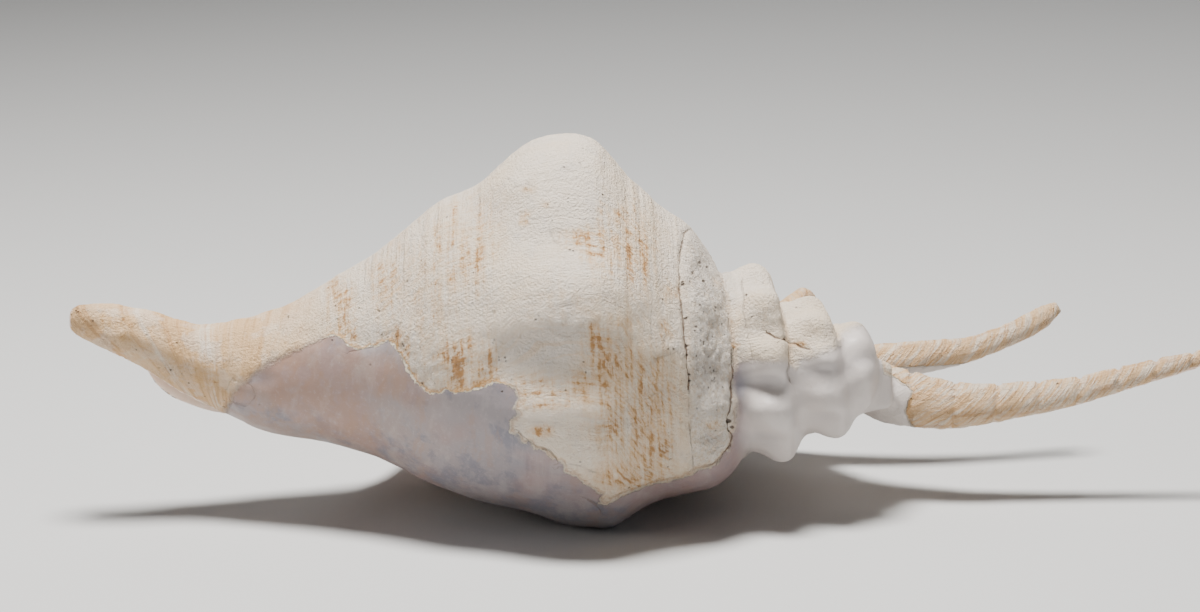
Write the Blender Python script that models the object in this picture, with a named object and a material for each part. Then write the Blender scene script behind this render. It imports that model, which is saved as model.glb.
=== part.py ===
"""Spider conch shell, lying on its underside: one hollow natural solid.

+X runs along the shell's coiling axis towards the spire, +Z is the shell's back and +Y is the side of
the flared lip with its six fingers. Sizes are written in millimetres and scaled to metres at the end.
"""

import math

import bmesh
import bpy
import numpy as np
from mathutils import Vector

MM = 0.001

# Where the origin lies: under the middle of the whole shell, on the plane that it rests on
ORIGIN = Vector((0.3, 46.0, 0.0))

# The coil: rows of x, height of the axis, radius over the back, radius underneath
COIL_ROWS = (
    (-104.3, 38.7, 13.8, 14.0),
    (-96.7, 38.7, 16.6, 16.6),
    (-87.9, 40.0, 19.8, 19.2),
    (-81.1, 41.3, 22.9, 22.1),
    (-73.8, 42.4, 26.0, 25.2),
    (-66.3, 43.4, 30.7, 29.4),
    (-60.3, 43.9, 35.1, 33.0),
    (-53.8, 44.3, 39.3, 36.0),
    (-47.3, 44.3, 41.0, 38.4),
    (-39.0, 44.2, 43.4, 40.5),
    (-28.9, 43.4, 47.1, 42.0),
    (-21.3, 42.9, 48.6, 42.9),
    (-13.5, 42.4, 48.6, 42.9),
    (-10.1, 42.1, 47.8, 42.6),
    (-3.1, 41.6, 45.0, 38.1),
    (2.9, 41.2, 40.0, 35.4),
    (7.8, 40.8, 37.3, 34.1),
    (10.9, 40.6, 34.6, 33.3),
    (16.4, 40.0, 26.5, 31.5),
    (22.4, 39.6, 18.0, 26.0),
    (28.0, 39.3, 10.0, 15.0),
    (40.0, 38.8, 5.0, 5.0),
    (58.8, 38.2, 5.0, 5.0),
)
# The siphonal canal, from its tip to the coil: rows of x, height, radius
CANAL_ROWS = (
    (-151.0, 54.6, 2.2),
    (-148.5, 53.9, 4.0),
    (-144.0, 52.7, 5.2),
    (-139.1, 51.3, 6.3),
    (-132.6, 48.8, 7.2),
    (-123.2, 44.4, 8.2),
    (-119.1, 42.6, 9.0),
    (-114.1, 41.2, 10.4),
    (-109.2, 39.9, 12.2),
)
# The canal's far edge hangs lower than its near edge: rows of x, how far it is drawn out
FLANGE_ROWS = ((-130.0, 0.0), (-124.0, 4.4), (-116.0, 5.6), (-109.0, 3.6), (-98.0, 1.2), (-88.0, 0.0))
FLANGE_ANGLE = 296
FLANGE_HALF_ANGLE = 30
CANAL_SWING = 7.0  # how far the canal's tip bends away from the lip
SWING_START, SWING_END = -100.0, -151.0
SWING_LATENESS = 1.2  # over 1, so that most of the bend is near the tip
TILT_START, TILT_END = -104.0, -120.0  # where the canal's rings turn square to it
APEX_X = 58.8
APEX_DOME = 7.0  # length of the blunt rounded end of the spire
APEX_FLAT = 0.02  # how blunt that end is

# The rule of the spire: where its first suture crosses the back, its pitch and how fast it shrinks
SUTURE_X = 18.2
SUTURE_TURN = 0.25
PITCH = 15.86
PITCH_SHRINK = 1.834e-4
SPIRE_RADIUS = 27.1
WHORL_SHRINK = 0.71
COVERED_SHARE = 0.97  # share of the first whorl's radius where the last whorl covers it
SHOULDER = 0.8  # share of each whorl's width that is level, before its ramp
KNOBS = 9
KNOB_PHASE = math.radians(122)
KNOB_SHARE = 0.15
KNOB_REST = 0.3  # share of a knob's height by which the dips between the knobs lie lower
KNOB_SHARPNESS = 1.5
KNOB_REACH = 0.95  # share of each whorl's width that a knob fills
KNOB_SKEW = 1.4  # how far a knob's top leans towards the whorl's shoulder
CALLUS = 1.5  # thickness of the glaze over the underside of the spire
CALLUS_FROM, CALLUS_FULL = -0.1, 0.7  # how far below the axis it starts and is full, in radii

# Knobs on the last whorl's shoulder: rows of x, angle, height, half length each way, half angle
KNOB_CREST, KNOB_FLANK = 3.5, 3.0  # how flat their tops are, along the shell and around it
BODY_KNOBS = (
    (-23.4, 88, 9.3, 18.0, 14.0, 34),
    (-20.0, 30, 6.0, 16.0, 13.0, 20),
    (-21.0, 152, 5.4, 18.0, 15.0, 15),
    (-22.0, 193, 4.6, 17.0, 15.0, 14),
    (-15.0, 245, 1.6, 13.0, 12.0, 14),
)

# The flared lip: rows of x, reach of its rim, height of the rim, half thickness, underside beside the mouth
LIP_ROWS = (
    (64.0, 21.0, 29.0, 4.2, 27.5),
    (58.0, 28.0, 28.0, 4.6, 27.0),
    (50.0, 41.0, 25.0, 4.8, 23.0),
    (40.0, 57.0, 20.5, 4.6, 20.0),
    (28.0, 71.0, 16.5, 4.4, 15.5),
    (14.0, 82.0, 14.5, 4.2, 5.0),
    (0.0, 88.0, 13.5, 4.0, -0.8),
    (-15.0, 90.0, 13.0, 4.0, -0.8),
    (-30.0, 90.0, 12.5, 4.0, -0.8),
    (-45.0, 85.0, 12.5, 4.0, -0.4),
    (-57.0, 75.0, 13.0, 4.0, 5.0),
    (-66.0, 58.0, 15.0, 3.8, 11.0),
    (-74.0, 34.0, 20.0, 3.6, 16.0),
    (-86.0, 15.0, 30.0, 3.5, 25.0),
)
LIP_HOLLOW = 2.6  # how late the underside turns up to the rim
LIP_FALL, LIP_SWELL = 1.35, 0.55  # how the lip's back falls from the last whorl to the rim
LIP_ROOT = (0.5, 0.8)  # where its back leaves the last whorl, in radii of the coil
LIP_UNDER = 0.72  # where its underside starts, inside the mouth's width
LIP_STEPS = 24
SPIRE_ROOT = (2.0, 1.0)  # where it leaves the spire, from the axis
RIM_ROOM = 8.0  # least distance from where it starts to its rim
RIM_SIDES = 10
MOUTH_END = 22.0  # x where its underside leaves the mouth's edge for the spire
SPIRE_END = 50.0  # x where all of it leaves the spire
# Where the ridges of the fingers, all but the first, leave the last whorl
RIDGE_STARTS = (12.0, 2.0, -10.0, -26.0, -42.0)
RIDGE_HEIGHT = 3.2
RIDGE_WIDTH = 5.5
RIDGE_FADE = 6  # how near the rim the ridges die away
RIDGE_ROOT_Y = 26.0

# The six fingers, from the one beside the spire to the one next to the canal: points and radii
FINGERS = (
    (((34, 34, 20), (50, 26, 27), (58, 21, 29.2), (66, 17, 27.4), (80, 14, 25.8), (95, 14, 27),
      (111, 14, 29.3), (127, 14, 33.6), (142, 14, 37.7), (151.5, 14, 41.0)),
     (7.5, 7.6, 7.3, 7.8, 6.5, 5.2, 4.1, 3.4, 2.7, 1.8)),
    (((34, 58, 18), (48, 53, 23), (62, 51, 28.2), (74, 51, 30.2), (87, 53, 31.8),
      (99, 56, 35.4), (107, 58, 38.8), (114, 60, 43.0)),
     (6.5, 6.4, 5.8, 4.8, 3.8, 3.4, 3.3, 2.0)),
    (((14, 74, 14), (23, 83, 17), (31.5, 92, 24), (39.5, 100.5, 31), (47.5, 108, 36.7)),
     (6.5, 6.0, 5.0, 4.4, 3.2)),
    (((-2, 78, 12), (0, 92, 14), (3, 106, 19), (6, 120, 27), (8.5, 131, 35), (10, 139, 42)),
     (6.5, 6.2, 5.2, 4.3, 3.4, 2.1)),
    (((-30, 78, 11), (-31, 92, 12.5), (-33, 107, 17), (-36, 121, 25), (-38, 131, 33), (-39, 138, 40)),
     (6.5, 6.2, 5.2, 4.2, 3.3, 2.1)),
    (((-50, 68, 11), (-59, 79, 12), (-68, 91, 16), (-76, 102, 22), (-82, 110, 29), (-86, 116, 35)),
     (6.3, 5.8, 4.8, 3.9, 3.1, 2.0)),
)

# The mouth's hollow, in radii of the coil from its axis: up the lip's wall, over, back down the columella
MOUTH_LOOP = (
    (0.90, -1.30), (0.90, -0.95), (0.96, -0.60), (1.00, -0.20), (0.92, 0.18), (0.78, 0.46), (0.56, 0.66),
    (0.30, 0.76), (0.02, 0.74), (-0.20, 0.64), (-0.28, 0.48), (-0.18, 0.36), (0.00, 0.30), (0.18, 0.22),
    (0.32, 0.08), (0.40, -0.12), (0.45, -0.35), (0.47, -0.65), (0.48, -0.95), (0.48, -1.30),
)
# The canal's trough, in the same radii: up the far wall, over, and back down the near one
CANAL_LOOP = (
    (0.42, -1.90), (0.40, -1.45), (0.40, -1.05), (0.44, -0.65), (0.50, -0.30), (0.50, 0.02), (0.42, 0.28),
    (0.26, 0.46), (0.04, 0.52), (-0.20, 0.46), (-0.40, 0.28), (-0.50, 0.02), (-0.50, -0.22), (-0.42, -0.45),
    (-0.30, -0.62), (-0.20, -0.80), (-0.15, -0.95), (-0.12, -1.15), (-0.12, -1.45), (-0.12, -1.90),
)
# Where the hollow runs: rows of x, share of the full hollow, share of the canal's form
HOLLOW_ROWS = (
    (-153.0, 1.00, 1.0),
    (-140.0, 1.00, 1.0),
    (-120.0, 1.00, 1.0),
    (-100.0, 1.00, 0.9),
    (-84.0, 1.00, 0.45),
    (-68.0, 1.00, 0.10),
    (-50.0, 1.00, 0.0),
    (-15.0, 1.00, 0.0),
    (0.0, 0.94, 0.0),
    (10.0, 0.72, 0.0),
    (18.0, 0.40, 0.0),
    (24.0, 0.08, 0.0),
)
HOLLOW_RADIUS_X = 7.8  # past here the hollow no longer follows the coil's radius
HOLLOW_END = (0.72, -0.75)  # the point it narrows to, in radii of the coil

# The shallow groove along each finger's underside, in radii of the finger
GROOVE_DEPTH = 1.0
GROOVE_RADIUS = 0.34
GROOVE_START = ((12.0, 32.0, 4.0), (24.0, 33.0, 7.0))
GROOVE_START_RADIUS = 8.0

RING_SIDES = 120
FINGER_SIDES, GROOVE_SIDES = 20, 12
FINGER_RINGS = 40
COIL_STEP, CANAL_STEP, LIP_STEP = 1.2, 1.5, 2.0
UNION_VOXEL = 1.5 * MM
RELAX_FACTOR, RELAX_ROUNDS = 0.5, 6
TRIANGLES_WANTED = 9000
GROUND_DEPTH = 0.2  # in metres, of the block that takes off what lies under the resting plane


def smooth_rows(rows, where):
    """Rows of numbers read at one value of their first column, on a smooth curve through them."""
    table = np.array(sorted(rows), float)
    key = table[:, 0]
    where = min(max(where, key[0]), key[-1])
    i = int(min(max(np.searchsorted(key, where) - 1, 0), len(key) - 2))
    before, after = max(i - 1, 0), min(i + 2, len(key) - 1)
    span = key[i + 1] - key[i]
    t = (where - key[i]) / span
    start = (table[i + 1] - table[before]) / (key[i + 1] - key[before]) * span
    end = (table[after] - table[i]) / (key[after] - key[i]) * span
    value = (
        (2 * t**3 - 3 * t**2 + 1) * table[i]
        + (t**3 - 2 * t**2 + t) * start
        + (3 * t**2 - 2 * t**3) * table[i + 1]
        + (t**3 - t**2) * end
    )
    return value[1:]


def along(points, values, count):
    """A path's points and its radii, spaced evenly along a smooth curve through them."""
    rows = [(i, *point, value) for i, (point, value) in enumerate(zip(points, values))]
    last = len(points) - 1
    read = [smooth_rows(rows, last * i / (count - 1)) for i in range(count)]
    return [Vector(r[:3]) for r in read], [float(r[3]) for r in read]


def smooth_step(low, high, value):
    t = min(max((value - low) / (high - low), 0.0), 1.0)
    return t * t * (3 - 2 * t)


def turns_at(x):
    """How many turns of the spire lie between its first suture and x."""
    run = x - SUTURE_X
    return SUTURE_TURN + run / PITCH + PITCH_SHRINK * run * abs(run)


def spire_radius(x, angle):
    """Radius of the stepped spire: level whorls, each with a ramp and a row of knobs at its shoulder."""
    turn = (angle % math.tau) / math.tau
    whorl = turns_at(x) - turn
    if whorl < 0:
        return SPIRE_RADIUS * WHORL_SHRINK**turn * COVERED_SHARE
    part = whorl % 1.0
    ramp = smooth_step(SHOULDER, 1.0, part)
    radius = SPIRE_RADIUS * WHORL_SHRINK ** (turns_at(x) - part * (1 - ramp))
    knob = math.sin(math.pi * min(part**KNOB_SKEW / KNOB_REACH, 1.0)) ** KNOB_SHARPNESS
    knob *= 0.5 + 0.5 * math.cos(KNOBS * (angle - KNOB_PHASE))
    underneath = smooth_step(CALLUS_FROM, CALLUS_FULL, -math.sin(angle))
    return radius * (1 + KNOB_SHARE * (knob - KNOB_REST)) + CALLUS * underneath


def knob_height(x, angle):
    """Height of the last whorl's knobs over its round form."""
    total = 0.0
    for knob_x, degrees, height, before, after, half_angle in BODY_KNOBS:
        off = (x - knob_x) / (before if x < knob_x else after)
        turned = (math.degrees(angle) - degrees + 180) % 360 - 180
        total += height * math.exp(-(abs(off) ** KNOB_CREST) - abs(turned / half_angle) ** KNOB_FLANK)
    return total


def flange_height(x, angle):
    """How far the low far edge of the canal stands out of the round form."""
    drawn = smooth_rows(FLANGE_ROWS, x)[0]
    turned = (math.degrees(angle) - FLANGE_ANGLE + 180) % 360 - 180
    return drawn * math.exp(-((turned / FLANGE_HALF_ANGLE) ** 2))


def coil_ring(x):
    """The coil's outline at x, round its axis."""
    height, over, under = smooth_rows(COIL_ROWS, x)
    dome = math.sqrt(max(1 - max(0, (x - APEX_X + APEX_DOME) / APEX_DOME) ** 2, APEX_FLAT))
    ring = []
    for k in range(RING_SIDES):
        angle = math.tau * k / RING_SIDES
        low = (1 - math.sin(angle)) / 2
        radius = over * (1 - low) + under * low + knob_height(x, angle) + flange_height(x, angle)
        if x > 0:
            radius = max(radius, spire_radius(x, angle))
        radius *= dome
        ring.append(Vector((x, radius * math.cos(angle), height + radius * math.sin(angle))))
    return ring


def canal_at(x):
    """The canal's height, radius and sideways swing at x."""
    height, radius = smooth_rows(CANAL_ROWS + (COIL_ROWS[0][:3],), x)
    return height, radius, -CANAL_SWING * smooth_step(SWING_START, SWING_END, x) ** SWING_LATENESS


def canal_ring(x):
    """A round ring square to the canal, which rises and swings aside towards its tip."""
    height, radius, swing = canal_at(x)
    tilt = math.atan2(height - canal_at(x + CANAL_STEP)[0], CANAL_STEP)
    tilt *= smooth_step(TILT_START, TILT_END, x)
    ring = []
    for k in range(RING_SIDES):
        angle = math.tau * k / RING_SIDES
        out = radius + flange_height(x, angle)
        up = out * math.sin(angle)
        side = out * math.cos(angle)
        ring.append(Vector((x + up * math.sin(tilt), swing + side, height + up * math.cos(tilt))))
    return ring


def ridge_height(x, y):
    """Height of the rounded ridges that fan out over the lip's back, one to each finger."""
    total = 0.0
    for start_x, (points, _) in zip(RIDGE_STARTS, FINGERS[1:]):
        start, end = Vector((start_x, RIDGE_ROOT_Y)), Vector(points[1][:2])
        share = min(max((Vector((x, y)) - start).dot(end - start) / (end - start).length_squared, 0.0), 1.0)
        away = (Vector((x, y)) - start.lerp(end, share)).length
        total += RIDGE_HEIGHT * math.exp(-((away / RIDGE_WIDTH) ** 2))
    return total


def lip_ring(x):
    """The lip's section at x: down from the back to the rim, round it, and back along the underside."""
    reach, rim, half, under = smooth_rows(LIP_ROWS, x)
    axis, over, _ = smooth_rows(COIL_ROWS, min(x, 20))
    spire = smooth_step(0, SPIRE_END, x)
    root_y = min(LIP_ROOT[0] * over * (1 - spire) + SPIRE_ROOT[0] * spire, reach - RIM_ROOM)
    root_z = axis + LIP_ROOT[1] * over * (1 - spire) + SPIRE_ROOT[1] * spire
    past_mouth = smooth_step(0, MOUTH_END, x)
    lower_y = min(LIP_UNDER * over, reach - RIM_ROOM) * (1 - past_mouth) + root_y * past_mouth
    upper, lower = [], []
    for i in range(LIP_STEPS):
        t = i / LIP_STEPS
        y = root_y + (reach - half - root_y) * t
        fall = (1 - t) ** LIP_FALL * (1 + LIP_SWELL * t * (1 - t))
        raised = ridge_height(x, y) * (1 - t**RIDGE_FADE)
        upper.append(Vector((x, y, rim + half + (root_z - rim - half) * fall + raised)))
        y = lower_y + (reach - half - lower_y) * t
        lower.append(Vector((x, y, under + (rim - half - under) * t**LIP_HOLLOW)))
    rounding = [
        Vector((x, reach - half + half * math.cos(a), rim + half * math.sin(a)))
        for a in (math.pi / 2 - math.pi * i / RIM_SIDES for i in range(RIM_SIDES + 1))
    ]
    return upper + rounding + lower[::-1]


def hollow_ring(x):
    """The hollow's section at x: the mouth's curl, which opens out into the canal's trough."""
    share, canal = smooth_rows(HOLLOW_ROWS, x)
    height, radius, swing = canal_at(x)
    if x > COIL_ROWS[0][0]:
        height, over, under = smooth_rows(COIL_ROWS, min(x, HOLLOW_RADIUS_X))
        radius = (over + under) / 2
    middle = Vector(HOLLOW_END)
    ring = []
    for mouth, trough in zip(MOUTH_LOOP, CANAL_LOOP):
        point = Vector(mouth) * (1 - canal) + Vector(trough) * canal
        point = middle + (point - middle) * share
        ring.append(Vector((x, swing + radius * point.x, height + radius * point.y)))
    return ring


def tube_rings(points, radii, sides):
    """Rings square to a path, without twist."""
    turns = [math.tau * k / sides for k in range(sides)]
    rings = []
    side = Vector((0, 0, 1))
    for i, (point, radius) in enumerate(zip(points, radii)):
        ahead = (points[min(i + 1, len(points) - 1)] - points[max(i - 1, 0)]).normalized()
        side = (side - ahead * side.dot(ahead)).normalized()
        across = ahead.cross(side)
        rings.append([point + radius * (side * math.cos(a) + across * math.sin(a)) for a in turns])
    return rings


def add_loft(mesh, rings):
    """A closed skin over rings that all have the same number of points."""
    loops = [[mesh.verts.new((p - ORIGIN) * MM) for p in ring] for ring in rings]
    count = len(rings[0])
    faces = [mesh.faces.new(loops[0]), mesh.faces.new(loops[-1][::-1])]
    for near, far in zip(loops, loops[1:]):
        for k in range(count):
            following = (k + 1) % count
            faces.append(mesh.faces.new((near[following], near[k], far[k], far[following])))
    bmesh.ops.recalc_face_normals(mesh, faces=faces)


def new_object(name, mesh):
    """An object of its own from a finished mesh."""
    data = bpy.data.meshes.new(name)
    mesh.to_mesh(data)
    mesh.free()
    made = bpy.data.objects.new(name, data)
    bpy.context.scene.collection.objects.link(made)
    return made


def whole_form():
    """The shell with its mouth still filled: coil, canal, lip and fingers, overlapping."""
    mesh = bmesh.new()
    canal = [canal_ring(x) for x in np.arange(CANAL_ROWS[0][0], COIL_ROWS[0][0], CANAL_STEP)]
    coil = [coil_ring(x) for x in np.arange(COIL_ROWS[0][0], APEX_X, COIL_STEP)]
    add_loft(mesh, canal + coil)
    add_loft(mesh, [lip_ring(x) for x in np.arange(LIP_ROWS[-1][0], LIP_ROWS[0][0], LIP_STEP)])
    for points, radii in FINGERS:
        add_loft(mesh, tube_rings(*along(points, radii, FINGER_RINGS), FINGER_SIDES))
    return new_object("shell", mesh)


def voxel_skin(made, name):
    """One even closed skin over everything in an object's mesh."""
    remesh = made.modifiers.new(name, "REMESH")
    remesh.mode = "VOXEL"
    remesh.voxel_size = UNION_VOXEL


def hollow_form():
    """What is open in the shell: the mouth, the canal's trough and the groove under each finger."""
    mesh = bmesh.new()
    add_loft(mesh, [hollow_ring(x) for x in np.arange(HOLLOW_ROWS[0][0], HOLLOW_ROWS[-1][0], LIP_STEP)])
    for number, (points, radii) in enumerate(FINGERS):
        path, thickness = along(points, radii, FINGER_RINGS)
        lowered = [p - Vector((0, 0, GROOVE_DEPTH * r)) for p, r in zip(path, thickness)]
        if number == 0:
            lowered = [Vector(point) for point in GROOVE_START] + lowered
            thickness = [GROOVE_START_RADIUS] * len(GROOVE_START) + thickness
        add_loft(mesh, tube_rings(lowered, [GROOVE_RADIUS * r for r in thickness], GROOVE_SIDES))
    made = new_object("hollow", mesh)
    voxel_skin(made, "one_body")
    made.hide_render = True
    made.display_type = "WIRE"
    return made


def ground_form():
    """Everything under the plane that the shell rests on."""
    mesh = bmesh.new()
    bmesh.ops.create_cube(mesh, size=1.0)
    made = new_object("ground", mesh)
    made.scale = (1.0, 1.0, GROUND_DEPTH)
    made.location = (0.0, 0.0, -GROUND_DEPTH / 2)
    made.hide_render = True
    made.display_type = "WIRE"
    return made


def shell_material():
    """Bleached, chalky shell."""
    material = bpy.data.materials.new("bleached_shell")
    material.use_nodes = True
    surface = material.node_tree.nodes["Principled BSDF"]
    surface.inputs["Base Color"].default_value = (0.68, 0.60, 0.52, 1.0)
    surface.inputs["Roughness"].default_value = 0.62
    surface.inputs["Metallic"].default_value = 0.0
    return material


def triangles_of(shell):
    """How many triangles the shell has with the modifiers that it has so far."""
    bpy.context.view_layer.update()
    evaluated = shell.evaluated_get(bpy.context.evaluated_depsgraph_get())
    mesh = evaluated.to_mesh()
    count = sum(len(polygon.vertices) - 2 for polygon in mesh.polygons)
    evaluated.to_mesh_clear()
    return count


def subtract(shell, cutter, name):
    """Take a cutter's form away from the shell."""
    cut = shell.modifiers.new(name, "BOOLEAN")
    cut.operation = "DIFFERENCE"
    cut.object = cutter


def main():
    for old in list(bpy.data.objects):
        bpy.data.objects.remove(old)
    shell = whole_form()
    hollow = hollow_form()
    voxel_skin(shell, "grown_together")
    subtract(shell, hollow, "mouth")
    voxel_skin(shell, "even_skin")
    relax = shell.modifiers.new("relax", "SMOOTH")
    relax.factor = RELAX_FACTOR
    relax.iterations = RELAX_ROUNDS
    thin = shell.modifiers.new("fewer_faces", "DECIMATE")
    thin.ratio = TRIANGLES_WANTED / triangles_of(shell)
    subtract(shell, ground_form(), "worn_underside")
    shell.data.materials.append(shell_material())


main()
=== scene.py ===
# %% [markdown]
# # A spider conch, bleached and weathered
#
# The real thing is one piece of shell that a large sea snail grew over many years: a coiled tube that
# widens with every turn, a canal drawn out at its front end, and a lip that flares into six grooved
# fingers. This one has lost its skin and lain in the sea and the sun, so its back is chalk and its
# underside still carries the hard glaze that the animal laid over it last.
#
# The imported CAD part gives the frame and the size. Every point below is written in millimetres, in the
# same modelling coordinates as the CAD source, and moved to the frame at the end.

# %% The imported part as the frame
import math

import bmesh
import bpy
import numpy as np
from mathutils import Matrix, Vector
from mathutils.bvhtree import BVHTree


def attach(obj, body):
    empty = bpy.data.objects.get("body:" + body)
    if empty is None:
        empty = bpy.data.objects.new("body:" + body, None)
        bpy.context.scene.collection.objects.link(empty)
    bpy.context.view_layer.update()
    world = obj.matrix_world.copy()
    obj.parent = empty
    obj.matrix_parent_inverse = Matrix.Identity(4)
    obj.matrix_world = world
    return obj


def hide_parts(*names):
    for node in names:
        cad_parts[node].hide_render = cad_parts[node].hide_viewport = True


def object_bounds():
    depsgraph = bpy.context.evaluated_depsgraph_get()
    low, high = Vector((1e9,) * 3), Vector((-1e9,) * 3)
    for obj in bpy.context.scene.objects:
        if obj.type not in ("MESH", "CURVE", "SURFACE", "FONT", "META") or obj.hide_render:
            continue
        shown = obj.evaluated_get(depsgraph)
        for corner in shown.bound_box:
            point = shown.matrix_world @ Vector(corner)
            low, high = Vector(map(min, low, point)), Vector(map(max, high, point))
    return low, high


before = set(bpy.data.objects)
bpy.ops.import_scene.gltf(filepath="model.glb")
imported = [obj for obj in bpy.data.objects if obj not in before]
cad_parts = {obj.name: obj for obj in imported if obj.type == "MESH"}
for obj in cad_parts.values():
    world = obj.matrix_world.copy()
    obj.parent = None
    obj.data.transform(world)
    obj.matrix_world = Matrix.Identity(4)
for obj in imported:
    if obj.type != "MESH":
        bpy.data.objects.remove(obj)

cad_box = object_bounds()
MM = 0.001
ORIGIN = np.array((0.3, 46.0, 0.0))  # the frame's origin, in modelling coordinates
print("frame in mm:", [[round(c / MM, 1) for c in corner] for corner in cad_box])

# %% [markdown]
# ## The rows that the shell is drawn from
#
# A snail's tube is a cross-section carried along an axis, so the body is written as rows: at each x the
# height of the axis and the radius over and under it. Few rows and a smooth curve through them give a
# form without bumps, and a row can be moved alone. The numbers are those of the CAD source.

# %% The coil, the canal and the last whorl's knobs
COIL_ROWS = (
    (-104.3, 38.7, 13.8, 14.0), (-96.7, 38.7, 16.6, 16.6), (-87.9, 40.0, 19.8, 19.2),
    (-81.1, 41.3, 22.9, 22.1), (-73.8, 42.4, 26.0, 25.2), (-66.3, 43.4, 30.7, 29.4),
    (-60.3, 43.9, 35.1, 33.0), (-53.8, 44.3, 39.3, 36.0), (-47.3, 44.3, 41.0, 38.4),
    (-39.0, 44.2, 43.4, 40.5), (-28.9, 43.4, 47.1, 42.0), (-21.3, 42.9, 48.6, 42.9),
    (-13.5, 42.4, 48.6, 42.9), (-10.1, 42.1, 47.8, 42.6), (-3.1, 41.6, 45.0, 38.1),
    (2.9, 41.2, 40.0, 35.4), (7.8, 40.8, 37.3, 34.1), (10.9, 40.6, 34.6, 33.3),
    (16.4, 40.0, 26.5, 31.5), (22.4, 39.6, 18.0, 26.0), (28.0, 39.3, 10.0, 15.0),
    (40.0, 38.8, 5.0, 5.0), (58.8, 38.2, 5.0, 5.0),
)
CANAL_ROWS = (
    (-151.0, 54.6, 2.2), (-148.5, 53.9, 4.0), (-144.0, 52.7, 5.2), (-139.1, 51.3, 6.3),
    (-132.6, 48.8, 7.2), (-123.2, 44.4, 8.2), (-119.1, 42.6, 9.0), (-114.1, 41.2, 10.4),
    (-109.2, 39.9, 12.2),
)
FLANGE_ROWS = ((-130.0, 0.0), (-124.0, 4.4), (-116.0, 5.6), (-109.0, 3.6), (-98.0, 1.2), (-88.0, 0.0))
FLANGE_ANGLE = 296
FLANGE_HALF_ANGLE = 30
CANAL_SWING = 7.0
SWING_START, SWING_END, SWING_LATENESS = -100.0, -151.0, 1.2
TILT_START, TILT_END = -104.0, -120.0
APEX_X = 58.8
APEX_DOME, APEX_FLAT = 7.0, 0.02
KNOB_CREST, KNOB_FLANK = 3.5, 3.0
# Rows of x, angle, height, half length each way, half angle
BODY_KNOBS = (
    (-23.4, 88, 9.3, 18.0, 14.0, 34),
    (-20.0, 30, 6.0, 16.0, 13.0, 20),
    (-21.0, 152, 5.4, 18.0, 15.0, 15),
    (-22.0, 193, 4.6, 17.0, 15.0, 14),
    (-15.0, 245, 1.6, 13.0, 12.0, 14),
)


def smooth_rows(rows, where):
    """Rows of numbers read at many values of their first column, on a smooth curve through them."""
    table = np.array(sorted(rows), float)
    key = table[:, 0]
    where = np.clip(np.asarray(where, float), key[0], key[-1])
    i = np.clip(np.searchsorted(key, where) - 1, 0, len(key) - 2)
    before, after = np.maximum(i - 1, 0), np.minimum(i + 2, len(key) - 1)
    span = key[i + 1] - key[i]
    t = ((where - key[i]) / span)[..., None]
    start = (table[i + 1] - table[before]) * (span / (key[i + 1] - key[before]))[..., None]
    end = (table[after] - table[i]) * (span / (key[after] - key[i]))[..., None]
    value = (
        (2 * t**3 - 3 * t**2 + 1) * table[i]
        + (t**3 - 2 * t**2 + t) * start
        + (3 * t**2 - 2 * t**3) * table[i + 1]
        + (t**3 - t**2) * end
    )
    return np.moveaxis(value[..., 1:], -1, 0)


def smooth_step(low, high, value):
    """0 before low, 1 past high and a soft curve between them."""
    t = np.clip((value - low) / (high - low), 0.0, 1.0)
    return t * t * (3 - 2 * t)


def turned_from(degrees, middle):
    """How far an angle is from another, the short way round."""
    return (degrees - middle + 180) % 360 - 180


def knob_height(x, degrees):
    """Height of the last whorl's knobs over its round form."""
    total = 0.0
    for knob_x, middle, height, before, after, half_angle in BODY_KNOBS:
        off = (x - knob_x) / np.where(x < knob_x, before, after)
        turned = turned_from(degrees, middle) / half_angle
        total = total + height * np.exp(-(np.abs(off) ** KNOB_CREST) - np.abs(turned) ** KNOB_FLANK)
    return total


def flange_height(x, degrees):
    """How far the low far edge of the canal stands out of the round form."""
    turned = turned_from(degrees, FLANGE_ANGLE) / FLANGE_HALF_ANGLE
    return smooth_rows(FLANGE_ROWS, x)[0] * np.exp(-(turned**2))


def canal_at(x):
    """The canal's height, radius and sideways swing at x."""
    height, radius = smooth_rows(CANAL_ROWS + (COIL_ROWS[0][:3],), x)
    return height, radius, -CANAL_SWING * smooth_step(SWING_START, SWING_END, x) ** SWING_LATENESS


def axis_height(x):
    """Height of the axis at x, in the canal and in the coil."""
    return np.where(x < COIL_ROWS[0][0], canal_at(x)[0], smooth_rows(COIL_ROWS, x)[0])


print("coil rows:", len(COIL_ROWS), " canal rows:", len(CANAL_ROWS), " knobs:", len(BODY_KNOBS))

# %% [markdown]
# ## Arithmetic as nodes
#
# The spire follows a rule, so a Geometry Nodes tree makes it, and a rule in nodes is a web of Math
# nodes. Wiring them one by one hides the rule. The small class below stands for a value that flows
# through a tree: every plus, times or power on it adds the Math node and links it. The same class
# writes geometry trees and shader trees, because both have the same Math node.


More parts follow.
